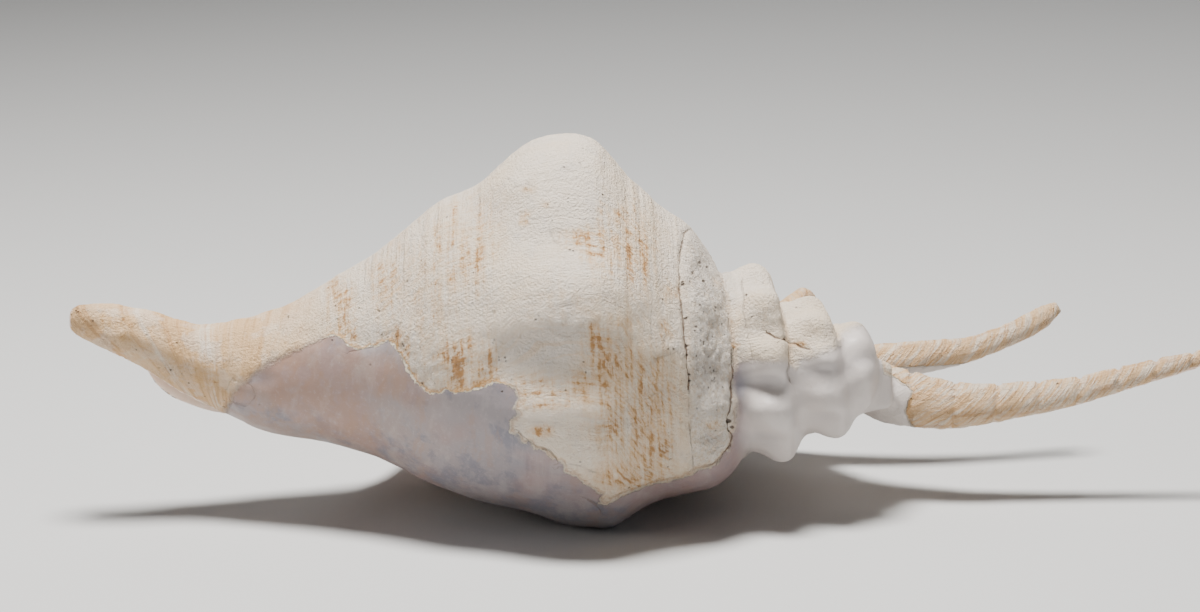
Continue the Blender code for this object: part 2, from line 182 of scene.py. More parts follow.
# %% A value in a node tree
class Flow:
    """A value in a node tree. Arithmetic on it adds the nodes."""

    def __init__(self, tree, socket):
        self.tree = tree
        self.socket = socket

    def math(self, operation, *others, order=1):
        """This value and others through one Math node, the other way round with order -1."""
        node = self.tree.nodes.new("ShaderNodeMath")
        node.operation = operation
        for socket, value in zip(node.inputs, (self, *others)[::order]):
            feed(self.tree, socket, value)
        return Flow(self.tree, node.outputs[0])

    def __add__(self, other):
        return self.math("ADD", other)

    def __sub__(self, other):
        return self.math("SUBTRACT", other)

    def __rsub__(self, other):
        return self.math("SUBTRACT", other, order=-1)

    def __mul__(self, other):
        return self.math("MULTIPLY", other)

    def __truediv__(self, other):
        return self.math("DIVIDE", other)

    def __rtruediv__(self, other):
        return self.math("DIVIDE", other, order=-1)

    def __pow__(self, other):
        return self.math("POWER", other)

    def __gt__(self, other):
        return self.math("GREATER_THAN", other)

    def __neg__(self):
        return self.math("MULTIPLY", -1.0)

    __radd__ = __add__
    __rmul__ = __mul__

    def clamp(self):
        """This value held between 0 and 1."""
        return self.math("MAXIMUM", 0.0).math("MINIMUM", 1.0)

    def step(self, low, high, to_low=0.0, to_high=1.0):
        """to_low before low, to_high past high and a soft curve between them."""
        node = self.tree.nodes.new("ShaderNodeMapRange")
        node.interpolation_type = "SMOOTHSTEP"
        for socket, value in zip(node.inputs, (self, low, high, to_low, to_high)):
            feed(self.tree, socket, value)
        return Flow(self.tree, node.outputs[0])

    def blend(self, other, share):
        """This value where share is 0 and the other where it is 1."""
        return self + (other - self) * share


def feed(tree, socket, value):
    """Links a flow to a socket, or sets a plain value on it."""
    if isinstance(value, Flow):
        tree.links.new(value.socket, socket)
    else:
        socket.default_value = value


def add_node(tree, kind, settings=None, **inputs):
    """A node with its settings and its inputs, by their names with _ for a space."""
    node = tree.nodes.new(kind)
    for name, value in (settings or {}).items():
        setattr(node, name, value)
    for name, value in inputs.items():
        wanted = name.replace("_", " ")
        feed(tree, next(s for s in node.inputs if s.enabled and s.name == wanted), value)
    return node


def flow_of(tree, node):
    """A node's first output as a flow."""
    return Flow(tree, node.outputs[0])


def attribute_in(tree, name, kind="FLOAT"):
    """A geometry tree's reading of a mesh attribute."""
    node = add_node(tree, "GeometryNodeInputNamedAttribute", {"data_type": kind}, Name=name)
    return flow_of(tree, node)


def vector_of(tree, x, y, z):
    """Three flows or numbers as one vector flow."""
    return flow_of(tree, add_node(tree, "ShaderNodeCombineXYZ", X=x, Y=y, Z=z))


def parts_of(vector):
    """The x, y and z of a vector flow."""
    node = add_node(vector.tree, "ShaderNodeSeparateXYZ", Vector=vector)
    return [Flow(vector.tree, socket) for socket in node.outputs]


def stretched(vector, scale):
    """A vector flow times a plain or flowing scale along each axis."""
    node = add_node(vector.tree, "ShaderNodeVectorMath", {"operation": "MULTIPLY"})
    feed(vector.tree, node.inputs[0], vector)
    feed(vector.tree, node.inputs[1], scale)
    return flow_of(vector.tree, node)


def noise_at(vector, scale, detail=2.0, roughness=0.5):
    """Noise between 0 and 1, in steps of about 1/scale of the vector's unit."""
    node = add_node(
        vector.tree, "ShaderNodeTexNoise",
        Vector=vector, Scale=scale, Detail=detail, Roughness=roughness,
    )
    return flow_of(vector.tree, node)


def drawn_out(tree, across, along_it=0.0, over=0.0):
    """A place for noise drawn out in streaks, turned off the noise's own grid so that no two are alike."""
    return vector_of(tree, across * 0.78, along_it + across * 0.53, over + across * 0.34)


def geometry_tree(name, sizes):
    """An empty geometry tree with one named input for each size; gives the tree, its inputs and its exit."""
    tree = bpy.data.node_groups.new(name, "GeometryNodeTree")
    tree.interface.new_socket("Geometry", in_out="INPUT", socket_type="NodeSocketGeometry")
    for label, value in sizes.items():
        kind = "NodeSocketMaterial" if isinstance(value, bpy.types.Material) else "NodeSocketFloat"
        tree.interface.new_socket(label, in_out="INPUT", socket_type=kind)
    tree.interface.new_socket("Geometry", in_out="OUTPUT", socket_type="NodeSocketGeometry")
    entry = tree.nodes.new("NodeGroupInput")
    return tree, {s.name: Flow(tree, s) for s in entry.outputs if s.name}, tree.nodes.new("NodeGroupOutput")


def close_tree(tree, leaving, geometry, material):
    """Every tree ends by making its instances real and setting its material."""
    real = add_node(tree, "GeometryNodeRealizeInstances", Geometry=geometry)
    dressed = add_node(tree, "GeometryNodeSetMaterial", Geometry=flow_of(tree, real), Material=material)
    tree.links.new(dressed.outputs[0], leaving.inputs[0])


def grown_by(tree, sizes, made):
    """A mesh object run through a tree with these sizes, as a plain mesh; the object is removed."""
    modifier = made.modifiers.new("tree", "NODES")
    modifier.node_group = tree
    for item in tree.interface.items_tree:
        if item.in_out == "INPUT" and item.name in sizes:
            modifier[item.identifier] = sizes[item.name]
    return plain_mesh(made)


def plain_mesh(made):
    """An object's mesh with its modifiers worked in; the object is removed."""
    bpy.context.view_layer.update()
    evaluated = made.evaluated_get(bpy.context.evaluated_depsgraph_get())
    mesh = bpy.data.meshes.new_from_object(evaluated)
    bpy.data.objects.remove(made)
    return mesh


def linked(name, mesh):
    """A mesh as an object of the scene."""
    made = bpy.data.objects.new(name, mesh)
    bpy.context.scene.collection.objects.link(made)
    return made


def give_attribute(mesh, name, values, kind="FLOAT"):
    """Values for each vertex, kept on the mesh under a name."""
    layer = mesh.attributes.new(name, kind, "POINT")
    slot = "vector" if kind == "FLOAT_VECTOR" else "value"
    layer.data.foreach_set(slot, np.ascontiguousarray(values, np.float32).ravel())


def points_of(mesh):
    """A mesh's vertices as an array."""
    flat = np.empty(len(mesh.vertices) * 3, np.float32)
    mesh.vertices.foreach_get("co", flat)
    return flat.reshape(-1, 3).astype(float)


def loft(name, rings):
    """A closed skin over rings with the same number of points each, as a mesh in metres."""
    count, sides = rings.shape[:2]
    at = np.arange(count * sides).reshape(count, sides)
    near, far = at[:-1], at[1:]
    quads = np.stack((near, np.roll(near, -1, 1), np.roll(far, -1, 1), far), -1).reshape(-1, 4)
    mesh = bpy.data.meshes.new(name)
    places = ((rings.reshape(-1, 3) - ORIGIN) * MM).tolist()
    mesh.from_pydata(places, [], quads.tolist() + [at[0][::-1].tolist(), at[-1].tolist()])
    return mesh


print("arithmetic nodes ready")

# %% [markdown]
# ## The coil and its spire
#
# Each whorl of the real spire is a level band with a row of knobs at its shoulder and a ramp down to the
# suture, where it meets the whorl before it. All of them are the same form, smaller by one share with
# every turn. It could be modelled by hand, whorl by whorl, or as a screw. A rule is truer: the number of
# turns at x gives the radius, and the part of a turn gives band, knob and ramp. The tree below lays it
# over the round body that the rows give.

# %% The rule of the spire, as a tree
SUTURE_X = 18.2  # x of the first suture at the top of the shell
SUTURE_TURN = 0.25  # the top, as part of a turn from the lip's side
PITCH = 15.86  # millimetres of x for one turn at the first suture
PITCH_SHRINK = 1.834e-4  # how the pitch shrinks towards the apex
SPIRE_SIZES = {
    "First Radius": 27.1,
    "Whorl Shrink": 0.71,
    "Covered Share": 0.97,
    "Shoulder": 0.8,
    "Knobs": 9.0,
    "Knob Phase": math.radians(122),
    "Knob Share": 0.15,
    "Knob Rest": 0.3,
    "Knob Skew": 1.4,
    "Knob Sharpness": 1.5,
    "Knob Reach": 0.95,
    "Callus": 1.5,
}
CALLUS_FROM, CALLUS_FULL = -0.1, 0.7


def turns_at(x):
    """How many turns of the spire lie between its first suture and x."""
    run = x - SUTURE_X
    return SUTURE_TURN + run / PITCH + PITCH_SHRINK * run * np.abs(run)


def spire_tree(material):
    """The tree that lays the stepped spire over the round body."""
    tree, size, leaving = geometry_tree("coil_and_spire", {**SPIRE_SIZES, "Material": material})
    turn, turns = attribute_in(tree, "turn"), attribute_in(tree, "turns")
    angle = turn * math.tau
    whorl = turns - turn
    part = whorl.math("FRACT")
    level = part * (1 - part.step(size["Shoulder"], 1.0))
    radius = size["First Radius"] * size["Whorl Shrink"] ** (turns - level)
    knob = (part ** size["Knob Skew"] / size["Knob Reach"]).math("MINIMUM", 1.0) * math.pi
    knob = knob.math("SINE").math("MAXIMUM", 0.0) ** size["Knob Sharpness"]
    knob = knob * (((angle - size["Knob Phase"]) * size["Knobs"]).math("COSINE") * 0.5 + 0.5)
    callus = (-angle.math("SINE")).step(CALLUS_FROM, CALLUS_FULL) * size["Callus"]
    stepped = radius * (1 + (knob - size["Knob Rest"]) * size["Knob Share"]) + callus
    covered = size["First Radius"] * size["Whorl Shrink"] ** turn * size["Covered Share"]
    stepped = covered.blend(stepped, whorl > 0.0) * attribute_in(tree, "in_spire")
    out = attribute_in(tree, "plain_radius").math("MAXIMUM", stepped) * attribute_in(tree, "dome")
    up, side = out * angle.math("SINE"), out * angle.math("COSINE")
    lean = attribute_in(tree, "lean")
    x, y, z = parts_of(attribute_in(tree, "middle", "FLOAT_VECTOR"))
    place = vector_of(tree, x + up * lean.math("SINE"), y + side, z + up * lean.math("COSINE"))
    in_metres = stretched(place, (MM,) * 3)
    moved = add_node(tree, "GeometryNodeSetPosition", Geometry=size["Geometry"], Position=in_metres)
    close_tree(tree, leaving, flow_of(tree, moved), size["Material"])
    return tree


# %% The coil's rings
RING_SIDES = 216
COIL_STEP, CANAL_STEP = 0.9, 1.0


def coil_mesh(material):
    """Canal, last whorl and spire as one closed skin."""
    canal_x = np.arange(CANAL_ROWS[0][0], COIL_ROWS[0][0], CANAL_STEP)
    coil_x = np.arange(COIL_ROWS[0][0], APEX_X, COIL_STEP)
    x = np.concatenate((canal_x, coil_x))[:, None] + np.zeros(RING_SIDES)
    turn = np.arange(RING_SIDES) / RING_SIDES + np.zeros_like(x)
    degrees = 360 * turn
    canal = x < COIL_ROWS[0][0]
    height, radius, swing = canal_at(x)
    ahead = canal_at(x + CANAL_STEP)[0]
    lean = np.arctan2(height - ahead, CANAL_STEP) * smooth_step(TILT_START, TILT_END, x)
    axis, over, under = smooth_rows(COIL_ROWS, x)
    low = (1 - np.sin(np.radians(degrees))) / 2
    body = over * (1 - low) + under * low + knob_height(x, degrees)
    plain = np.where(canal, radius, body) + flange_height(x, degrees)
    dome = np.sqrt(np.maximum(1 - np.maximum(0, (x - APEX_X + APEX_DOME) / APEX_DOME) ** 2, APEX_FLAT))
    middle = np.stack((x, np.where(canal, swing, 0.0), np.where(canal, height, axis)), -1) - ORIGIN
    mesh = loft("coil", middle + ORIGIN)
    give_attribute(mesh, "middle", middle, "FLOAT_VECTOR")
    for name, values in (
        ("turn", turn), ("turns", turns_at(x)), ("plain_radius", plain), ("dome", dome),
        ("lean", np.where(canal, lean, 0.0)), ("in_spire", (x > 0).astype(float)),
    ):
        give_attribute(mesh, name, values)
    sizes = {**SPIRE_SIZES, "Material": material}
    return grown_by(spire_tree(material), sizes, linked("coil", mesh))


# %% [markdown]
# ## The flared lip
#
# The lip is the mouth's outer edge, a curved plate a few millimetres thick that falls from the last
# whorl to its rim. It follows no simple rule, so it is lofted from rows in mesh code: the reach and the
# height of the rim, its half thickness and where its underside starts beside the mouth. A low rounded
# ridge runs over its back to the root of each finger.

# %% The fingers' paths and the lip
# From the finger beside the spire to the one next to the canal: points, then radii
FINGERS = (
    (((34, 34, 20), (50, 26, 27), (58, 21, 29.2), (66, 17, 27.4), (80, 14, 25.8), (95, 14, 27),
      (111, 14, 29.3), (127, 14, 33.6), (142, 14, 37.7), (151.5, 14, 41.0)),
     (7.5, 7.6, 7.3, 7.8, 6.5, 5.2, 4.1, 3.4, 2.7, 1.8)),
    (((34, 58, 18), (48, 53, 23), (62, 51, 28.2), (74, 51, 30.2), (87, 53, 31.8),
      (99, 56, 35.4), (107, 58, 38.8), (114, 60, 43.0)),
     (6.5, 6.4, 5.8, 4.8, 3.8, 3.4, 3.3, 2.0)),
    (((14, 74, 14), (23, 83, 17), (31.5, 92, 24), (39.5, 100.5, 31), (47.5, 108, 36.7)),
     (6.5, 6.0, 5.0, 4.4, 3.2)),
    (((-2, 78, 12), (0, 92, 14), (3, 106, 19), (6, 120, 27), (8.5, 131, 35), (10, 139, 42)),
     (6.5, 6.2, 5.2, 4.3, 3.4, 2.1)),
    (((-30, 78, 11), (-31, 92, 12.5), (-33, 107, 17), (-36, 121, 25), (-38, 131, 33), (-39, 138, 40)),
     (6.5, 6.2, 5.2, 4.2, 3.3, 2.1)),
    (((-50, 68, 11), (-59, 79, 12), (-68, 91, 16), (-76, 102, 22), (-82, 110, 29), (-86, 116, 35)),
     (6.3, 5.8, 4.8, 3.9, 3.1, 2.0)),
)
# Rows of x, reach of the rim, height of the rim, half thickness, underside beside the mouth
LIP_ROWS = (
    (64.0, 21.0, 29.0, 4.2, 27.5), (58.0, 28.0, 28.0, 4.6, 27.0), (50.0, 41.0, 25.0, 4.8, 23.0),
    (40.0, 57.0, 20.5, 4.6, 20.0), (28.0, 71.0, 16.5, 4.4, 15.5), (14.0, 82.0, 14.5, 4.2, 5.0),
    (0.0, 88.0, 13.5, 4.0, -0.8), (-15.0, 90.0, 13.0, 4.0, -0.8), (-30.0, 90.0, 12.5, 4.0, -0.8),
    (-45.0, 85.0, 12.5, 4.0, -0.4), (-57.0, 75.0, 13.0, 4.0, 5.0), (-66.0, 58.0, 15.0, 3.8, 11.0),
    (-74.0, 34.0, 20.0, 3.6, 16.0), (-86.0, 15.0, 30.0, 3.5, 25.0),
)
LIP_HOLLOW = 2.6  # how late the underside rises to the rim
LIP_FALL, LIP_SWELL = 1.35, 0.55  # how steeply the back falls from the whorl, and how much it bulges
LIP_ROOT = (0.5, 0.8)  # root of the back beside the coil's axis, in radii across and up
LIP_UNDER = 0.72  # start of the underside beside the axis, in radii
SPIRE_ROOT = (2.0, 1.0)  # root of the back beside the spire, in millimetres across and up
RIM_ROOM = 8.0  # least millimetres from the root to the rim
RIM_SIDES = 16
LIP_STEP, LIP_STEPS = 1.0, 72
LIP_AXIS_END = 20  # past this x the lip's root no longer follows the coil
MOUTH_END, SPIRE_END = 22.0, 50.0
RIDGE_STARTS = (12.0, 2.0, -10.0, -26.0, -42.0)
RIDGE_HEIGHT, RIDGE_WIDTH, RIDGE_ROOT_Y, RIDGE_FADE = 3.2, 5.5, 26.0, 6


def ridge_height(x, y):
    """Height of the rounded ridges that fan out over the lip's back, one to each finger."""
    total = 0.0
    for start_x, (points, _) in zip(RIDGE_STARTS, FINGERS[1:]):
        start = np.array((start_x, RIDGE_ROOT_Y))
        run = points[1][:2] - start
        here = np.stack((x, y), -1)
        share = np.clip(((here - start) @ run) / (run @ run), 0.0, 1.0)
        away = np.linalg.norm(here - start - share[..., None] * run, axis=-1)
        total = total + RIDGE_HEIGHT * np.exp(-((away / RIDGE_WIDTH) ** 2))
    return total


def lip_edges(x):
    """Reach, height and half thickness of the rim, the back's root (y, z), the underside's start (y, z)."""
    reach, rim, half, under = smooth_rows(LIP_ROWS, x)
    axis, over, _ = smooth_rows(COIL_ROWS, np.minimum(x, LIP_AXIS_END))
    spire = smooth_step(0, SPIRE_END, x)
    root_y = np.minimum(LIP_ROOT[0] * over * (1 - spire) + SPIRE_ROOT[0] * spire, reach - RIM_ROOM)
    root_z = axis + LIP_ROOT[1] * over * (1 - spire) + SPIRE_ROOT[1] * spire
    past_mouth = smooth_step(0, MOUTH_END, x)
    lower_y = np.minimum(LIP_UNDER * over, reach - RIM_ROOM) * (1 - past_mouth) + root_y * past_mouth
    return reach, rim, half, root_y, root_z, lower_y, under


def lip_back(y, edges):
    """Height of the lip's back at y, without its ridges, and the share of the way to the rim."""
    reach, rim, half, root_y, root_z, _, _ = edges
    t = np.clip((y - root_y) / (reach - half - root_y), 0.0, 1.0)
    return rim + half + (root_z - rim - half) * (1 - t) ** LIP_FALL * (1 + LIP_SWELL * t * (1 - t)), t


def lip_underside(y, edges):
    """Height of the lip's underside at y, for the edges at its x."""
    reach, rim, half, _, _, lower_y, under = edges
    t = np.clip((y - lower_y) / (reach - half - lower_y), 0.0, 1.0)
    return under + (rim - half - under) * t**LIP_HOLLOW


def lip_mesh():
    """The lip as one closed plate, from the canal to the spire."""
    x = np.arange(LIP_ROWS[-1][0], LIP_ROWS[0][0], LIP_STEP)[:, None]
    edges = lip_edges(x)
    reach, rim, half, root_y, _, lower_y, _ = edges
    t = np.arange(LIP_STEPS) / LIP_STEPS
    x_all = x + 0 * t
    upper_y = root_y + (reach - half - root_y) * t
    back, share = lip_back(upper_y, edges)
    back = back + ridge_height(x_all, upper_y) * (1 - share**RIDGE_FADE)
    under_y = lower_y + (reach - half - lower_y) * t
    turn = np.pi / 2 - np.pi * np.arange(RIM_SIDES + 1) / RIM_SIDES
    rows = (
        np.stack((x_all, upper_y, back), -1),
        np.stack((x + 0 * turn, reach - half + half * np.cos(turn), rim + half * np.sin(turn)), -1),
        np.stack((x_all, under_y, lip_underside(under_y, edges)), -1)[:, ::-1],
    )
    return loft("lip", np.concatenate(rows, 1))


print("lip rows:", len(LIP_ROWS), " ridges:", len(RIDGE_STARTS))

# %% [markdown]
# ## The six fingers
#
# In life the lip is folded into a finger at six places, so each finger is a rolled tube with a shallow
# groove underneath, thick at the root and blunt at the tip. A tube that follows a path is what Curve to
# Mesh is for: one tree turns six given paths into six fingers, thinning by an attribute on the
# path. The same tree makes the cutters for the grooves under them.

# %% The finger tree
FINGER_RINGS = 90
FINGER_SIZES = {"Sides": 36.0}
GROOVE_SIZES = {"Sides": 16.0}


def finger_tree(material):
    """The tree that lays a round tube along each path."""
    tree, size, leaving = geometry_tree("rolled_fingers", {**FINGER_SIZES, "Material": material})
    curve = add_node(tree, "GeometryNodeMeshToCurve", Mesh=size["Geometry"])
    circle = add_node(tree, "GeometryNodeCurvePrimitiveCircle", Resolution=size["Sides"], Radius=1.0)
    tube = add_node(
        tree, "GeometryNodeCurveToMesh",
        Curve=flow_of(tree, curve), Profile_Curve=flow_of(tree, circle),
        Scale=attribute_in(tree, "thickness"), Fill_Caps=True,
    )
    close_tree(tree, leaving, flow_of(tree, tube), size["Material"])
    return tree


def along(points, radii, count=FINGER_RINGS):
    """A path's points and radii, evenly spaced along a smooth curve through them."""
    rows = [(i, *point, radius) for i, (point, radius) in enumerate(zip(points, radii))]
    read = smooth_rows(rows, np.linspace(0, len(points) - 1, count))
    return read[:3].T, read[3]


def tubes(name, paths, tree, sizes, material):
    """Round tubes along paths of (points, radii), as one mesh."""
    places = np.concatenate([points for points, _ in paths])
    edges, first = [], 0
    for points, _ in paths:
        edges += [(first + i, first + i + 1) for i in range(len(points) - 1)]
        first += len(points)
    mesh = bpy.data.meshes.new(name)
    mesh.from_pydata(((places - ORIGIN) * MM).tolist(), edges, [])
    give_attribute(mesh, "thickness", np.concatenate([radii for _, radii in paths]) * MM)
    return grown_by(tree, {**sizes, "Material": material}, linked(name, mesh))


print("fingers:", len(FINGERS), " longest path in mm:", FINGERS[0][0][-1][0] - FINGERS[0][0][0][0])

# %% [markdown]
# ## The hollow
#
# Seen from below the shell is open: a long mouth beside the lip, which runs out into the trough of the
# canal. Here too a section is carried along x, and it changes from the mouth's form to the trough's on
# the way. The finished hollow is taken away from the filled shell with a Boolean.

# %% The mouth, the trough and the finger grooves
# Points in radii of the coil from its axis: up the lip's wall, over, back down the columella
MOUTH_LOOP = (
    (0.90, -1.30), (0.90, -0.95), (0.96, -0.60), (1.00, -0.20), (0.92, 0.18), (0.78, 0.46), (0.56, 0.66),
    (0.30, 0.76), (0.02, 0.74), (-0.20, 0.64), (-0.28, 0.48), (-0.18, 0.36), (0.00, 0.30), (0.18, 0.22),
    (0.32, 0.08), (0.40, -0.12), (0.45, -0.35), (0.47, -0.65), (0.48, -0.95), (0.48, -1.30),
)
CANAL_LOOP = (
    (0.42, -1.90), (0.40, -1.45), (0.40, -1.05), (0.44, -0.65), (0.50, -0.30), (0.50, 0.02), (0.42, 0.28),
    (0.26, 0.46), (0.04, 0.52), (-0.20, 0.46), (-0.40, 0.28), (-0.50, 0.02), (-0.50, -0.22), (-0.42, -0.45),
    (-0.30, -0.62), (-0.20, -0.80), (-0.15, -0.95), (-0.12, -1.15), (-0.12, -1.45), (-0.12, -1.90),
)
# Rows of x, share of the full hollow, share of the canal's form
HOLLOW_ROWS = (
    (-153.0, 1.00, 1.0), (-140.0, 1.00, 1.0), (-120.0, 1.00, 1.0), (-100.0, 1.00, 0.9),
    (-84.0, 1.00, 0.45), (-68.0, 1.00, 0.10), (-50.0, 1.00, 0.0), (-15.0, 1.00, 0.0),
    (0.0, 0.94, 0.0), (10.0, 0.72, 0.0), (18.0, 0.40, 0.0), (24.0, 0.08, 0.0),
)
HOLLOW_RADIUS_X = 7.8
HOLLOW_END = np.array((0.72, -0.75))
GROOVE_DEPTH, GROOVE_RADIUS = 1.0, 0.34
GROOVE_START = ((12.0, 32.0, 4.0), (24.0, 33.0, 7.0))
GROOVE_START_RADIUS = 8.0
HOLLOW_STEP = 1.5


def hollow_mesh():
    """The mouth and the canal's trough as one closed form."""
    x = np.arange(HOLLOW_ROWS[0][0], HOLLOW_ROWS[-1][0], HOLLOW_STEP)
    share, canal = smooth_rows(HOLLOW_ROWS, x)
    height, radius, swing = canal_at(x)
    axis, over, under = smooth_rows(COIL_ROWS, np.minimum(x, HOLLOW_RADIUS_X))
    coil = x > COIL_ROWS[0][0]
    height, radius = np.where(coil, axis, height), np.where(coil, (over + under) / 2, radius)
    loop = np.array(MOUTH_LOOP) * (1 - canal)[:, None, None] + np.array(CANAL_LOOP) * canal[:, None, None]
    loop = HOLLOW_END + (loop - HOLLOW_END) * share[:, None, None]
    y = swing[:, None] + radius[:, None] * loop[..., 0]
    z = height[:, None] + radius[:, None] * loop[..., 1]
    return loft("hollow", np.stack((x[:, None] + 0 * y, y, z), -1))


def groove_paths():
    """The fingers' own paths, thinner and lowered to their undersides."""
    paths = []
    for number, (points, radii) in enumerate(FINGERS):
        path, radius = along(points, radii)
        path = path - np.outer(GROOVE_DEPTH * radius, (0, 0, 1))
        if number == 0:
            path = np.concatenate((GROOVE_START, path))
            radius = np.concatenate(([GROOVE_START_RADIUS] * len(GROOVE_START), radius))
        paths.append((path, GROOVE_RADIUS * radius))
    return paths


# %% [markdown]
# ## One grown skin
#
# Coil, lip and fingers overlap, and a grown shell has no joints. A voxel Remesh draws one closed skin
# round everything, as clay is pressed over a frame; Smooth rounds where the forms meet. A union by
# Boolean would keep hard creases there. The hollow is cut while the mesh is still light, and a second,
# finer Remesh gives the even small faces that the relief needs.

# %% From overlapping forms to one skin
UNION_VOXEL = 1.3 * MM
SKIN_VOXEL = 0.68 * MM
RELAX_FACTOR, RELAX_ROUNDS = 0.5, 16


def add_remesh(made, size):
    """One even closed skin over everything in an object's mesh."""
    remesh = made.modifiers.new("skin", "REMESH")
    remesh.mode = "VOXEL"
    remesh.voxel_size = size


def joined(name, meshes):
    """Several meshes as one object."""
    whole = bmesh.new()
    for mesh in meshes:
        whole.from_mesh(mesh)
    mesh = bpy.data.meshes.new(name)
    whole.to_mesh(mesh)
    whole.free()
    return linked(name, mesh)


def grown_skin(material):
    """The whole shell as one even skin, and the hollow that was cut from it."""
    tree = finger_tree(material)
    paths = [along(points, radii) for points, radii in FINGERS]
    fingers = tubes("fingers", paths, tree, FINGER_SIZES, material)
    grooves = tubes("grooves", groove_paths(), tree, GROOVE_SIZES, material)
    hollow = joined("hollow", [hollow_mesh(), grooves])
    add_remesh(hollow, UNION_VOXEL)
    shell = joined("shell", [coil_mesh(material), lip_mesh(), fingers])
    add_remesh(shell, UNION_VOXEL)
    cut = shell.modifiers.new("mouth", "BOOLEAN")
    cut.operation = "DIFFERENCE"
    cut.object = hollow
    add_remesh(shell, SKIN_VOXEL)
    relax = shell.modifiers.new("relax", "SMOOTH")
    relax.factor = RELAX_FACTOR
    relax.iterations = RELAX_ROUNDS
    skin = plain_mesh(shell)
    return skin, plain_mesh(hollow)


plain_shell = bpy.data.materials.new("plain_shell")
skin, hollow_skin = grown_skin(plain_shell)
print("skin vertices:", len(skin.vertices), " faces:", len(skin.polygons))

# %% [markdown]
# ## Where the photograph shows each mark
#
# Stains, cracks and the torn edge of the glaze lie where they do by accident, and no rule gives them.
# They are read off the photograph in pixels and put on the surface by the same camera that renders the
# scene: each point of the skin knows the pixel that it shows at. A painted texture would do it too, but
# a few points and sizes in the script stay sharp at any distance and can be moved one by one.

# %% The camera of the photograph
PIXEL = 0.26  # millimetres that one pixel of the photograph covers, at the shell's axis
PHOTO_WIDTH, PHOTO_HEIGHT = 1200, 612
AXIS_PIXEL, FLOOR_PIXEL = 652, 516  # where x = 0 and the floor under the axis lie in the photograph
CAMERA_RISE = math.radians(12)
CAMERA_AWAY = 900.0
SENSOR = 36.0
AIM = np.array((
    (PHOTO_WIDTH / 2 - AXIS_PIXEL) * PIXEL, 0.0,
    (FLOOR_PIXEL - PHOTO_HEIGHT / 2) * PIXEL / math.cos(CAMERA_RISE),
))
BACK = np.array((0.0, -math.cos(CAMERA_RISE), math.sin(CAMERA_RISE)))
UP = np.array((0.0, math.sin(CAMERA_RISE), math.cos(CAMERA_RISE)))


def photo_camera():
    """The camera at the photograph's angle, aimed at the point in the middle of its frame."""
    camera = bpy.data.objects.new("camera", bpy.data.cameras.new("camera"))
    bpy.context.scene.collection.objects.link(camera)
    camera.location = Vector((AIM + BACK * CAMERA_AWAY - ORIGIN) * MM)
    camera.rotation_euler = Vector(-BACK).to_track_quat("-Z", "Y").to_euler()
    camera.data.sensor_width = SENSOR
    camera.data.lens = SENSOR * CAMERA_AWAY / (PHOTO_WIDTH * PIXEL)
    bpy.context.scene.camera = camera


def seen_at(places):
    """The pixels of the photograph at which places in millimetres appear."""
    off = places - AIM - BACK * CAMERA_AWAY
    scale = CAMERA_AWAY / PIXEL / -(off @ BACK)
    return np.stack((PHOTO_WIDTH / 2 + off[:, 0] * scale, PHOTO_HEIGHT / 2 - off @ UP * scale), -1)


def facing_camera(places, normals):
    """How squarely each point of the surface faces the camera, from -1 to 1."""
    sight = AIM + BACK * CAMERA_AWAY - places
    return (normals * sight).sum(1) / np.linalg.norm(sight, axis=1)


photo_camera()
print("lens in mm:", round(bpy.context.scene.camera.data.lens, 2))

# %% The edge of the glaze, the cracks, the stains and the crumbled patches
# All in pixels. The glaze lies inside this outline; its last two points are far below the picture.
GLAZE_OUTLINE = (
    (222, 425), (226, 408), (238, 386), (262, 366), (290, 352), (318, 340), (332, 334), (341, 336),
    (347, 343), (358, 349), (375, 345), (388, 339), (396, 346), (404, 358), (411, 372), (420, 385),
    (432, 393), (440, 392), (447, 389), (457, 392), (469, 390), (480, 387), (492, 382), (505, 384),
    (515, 387), (519, 398), (515, 408), (520, 413), (512, 421), (511, 431), (519, 434), (521, 442),
    (530, 441), (535, 449), (545, 450), (553, 459), (563, 461), (566, 471), (577, 474), (585, 483),
    (603, 494), (600, 502), (607, 503), (622, 494), (640, 487), (660, 481), (680, 478), (695, 471),
    (715, 461), (729, 449), (734, 430), (735, 400), (733, 374), (738, 362), (752, 359), (770, 361),
    (785, 360), (797, 367), (800, 357), (812, 357), (826, 352), (838, 345), (842, 333), (852, 327),
    (862, 325), (872, 329), (880, 350), (884, 371), (895, 378), (905, 384), (913, 390), (908, 401),
    (906, 412), (908, 421), (916, 427), (926, 433), (942, 470), (942, 760), (222, 760),
)
# Stretches of that edge from left to right: x where each starts, how raised and sharp the rim is there
RIM_ROWS = (
    (200, 0.12), (318, 0.25), (332, 0.9), (345, 1.0), (505, 1.0), (515, 0.5), (530, 0.6), (610, 0.55),
    (700, 0.7), (728, 0.5), (738, 0.12), (795, 0.1), (860, 0.1), (880, 0.6), (930, 0.7),
)
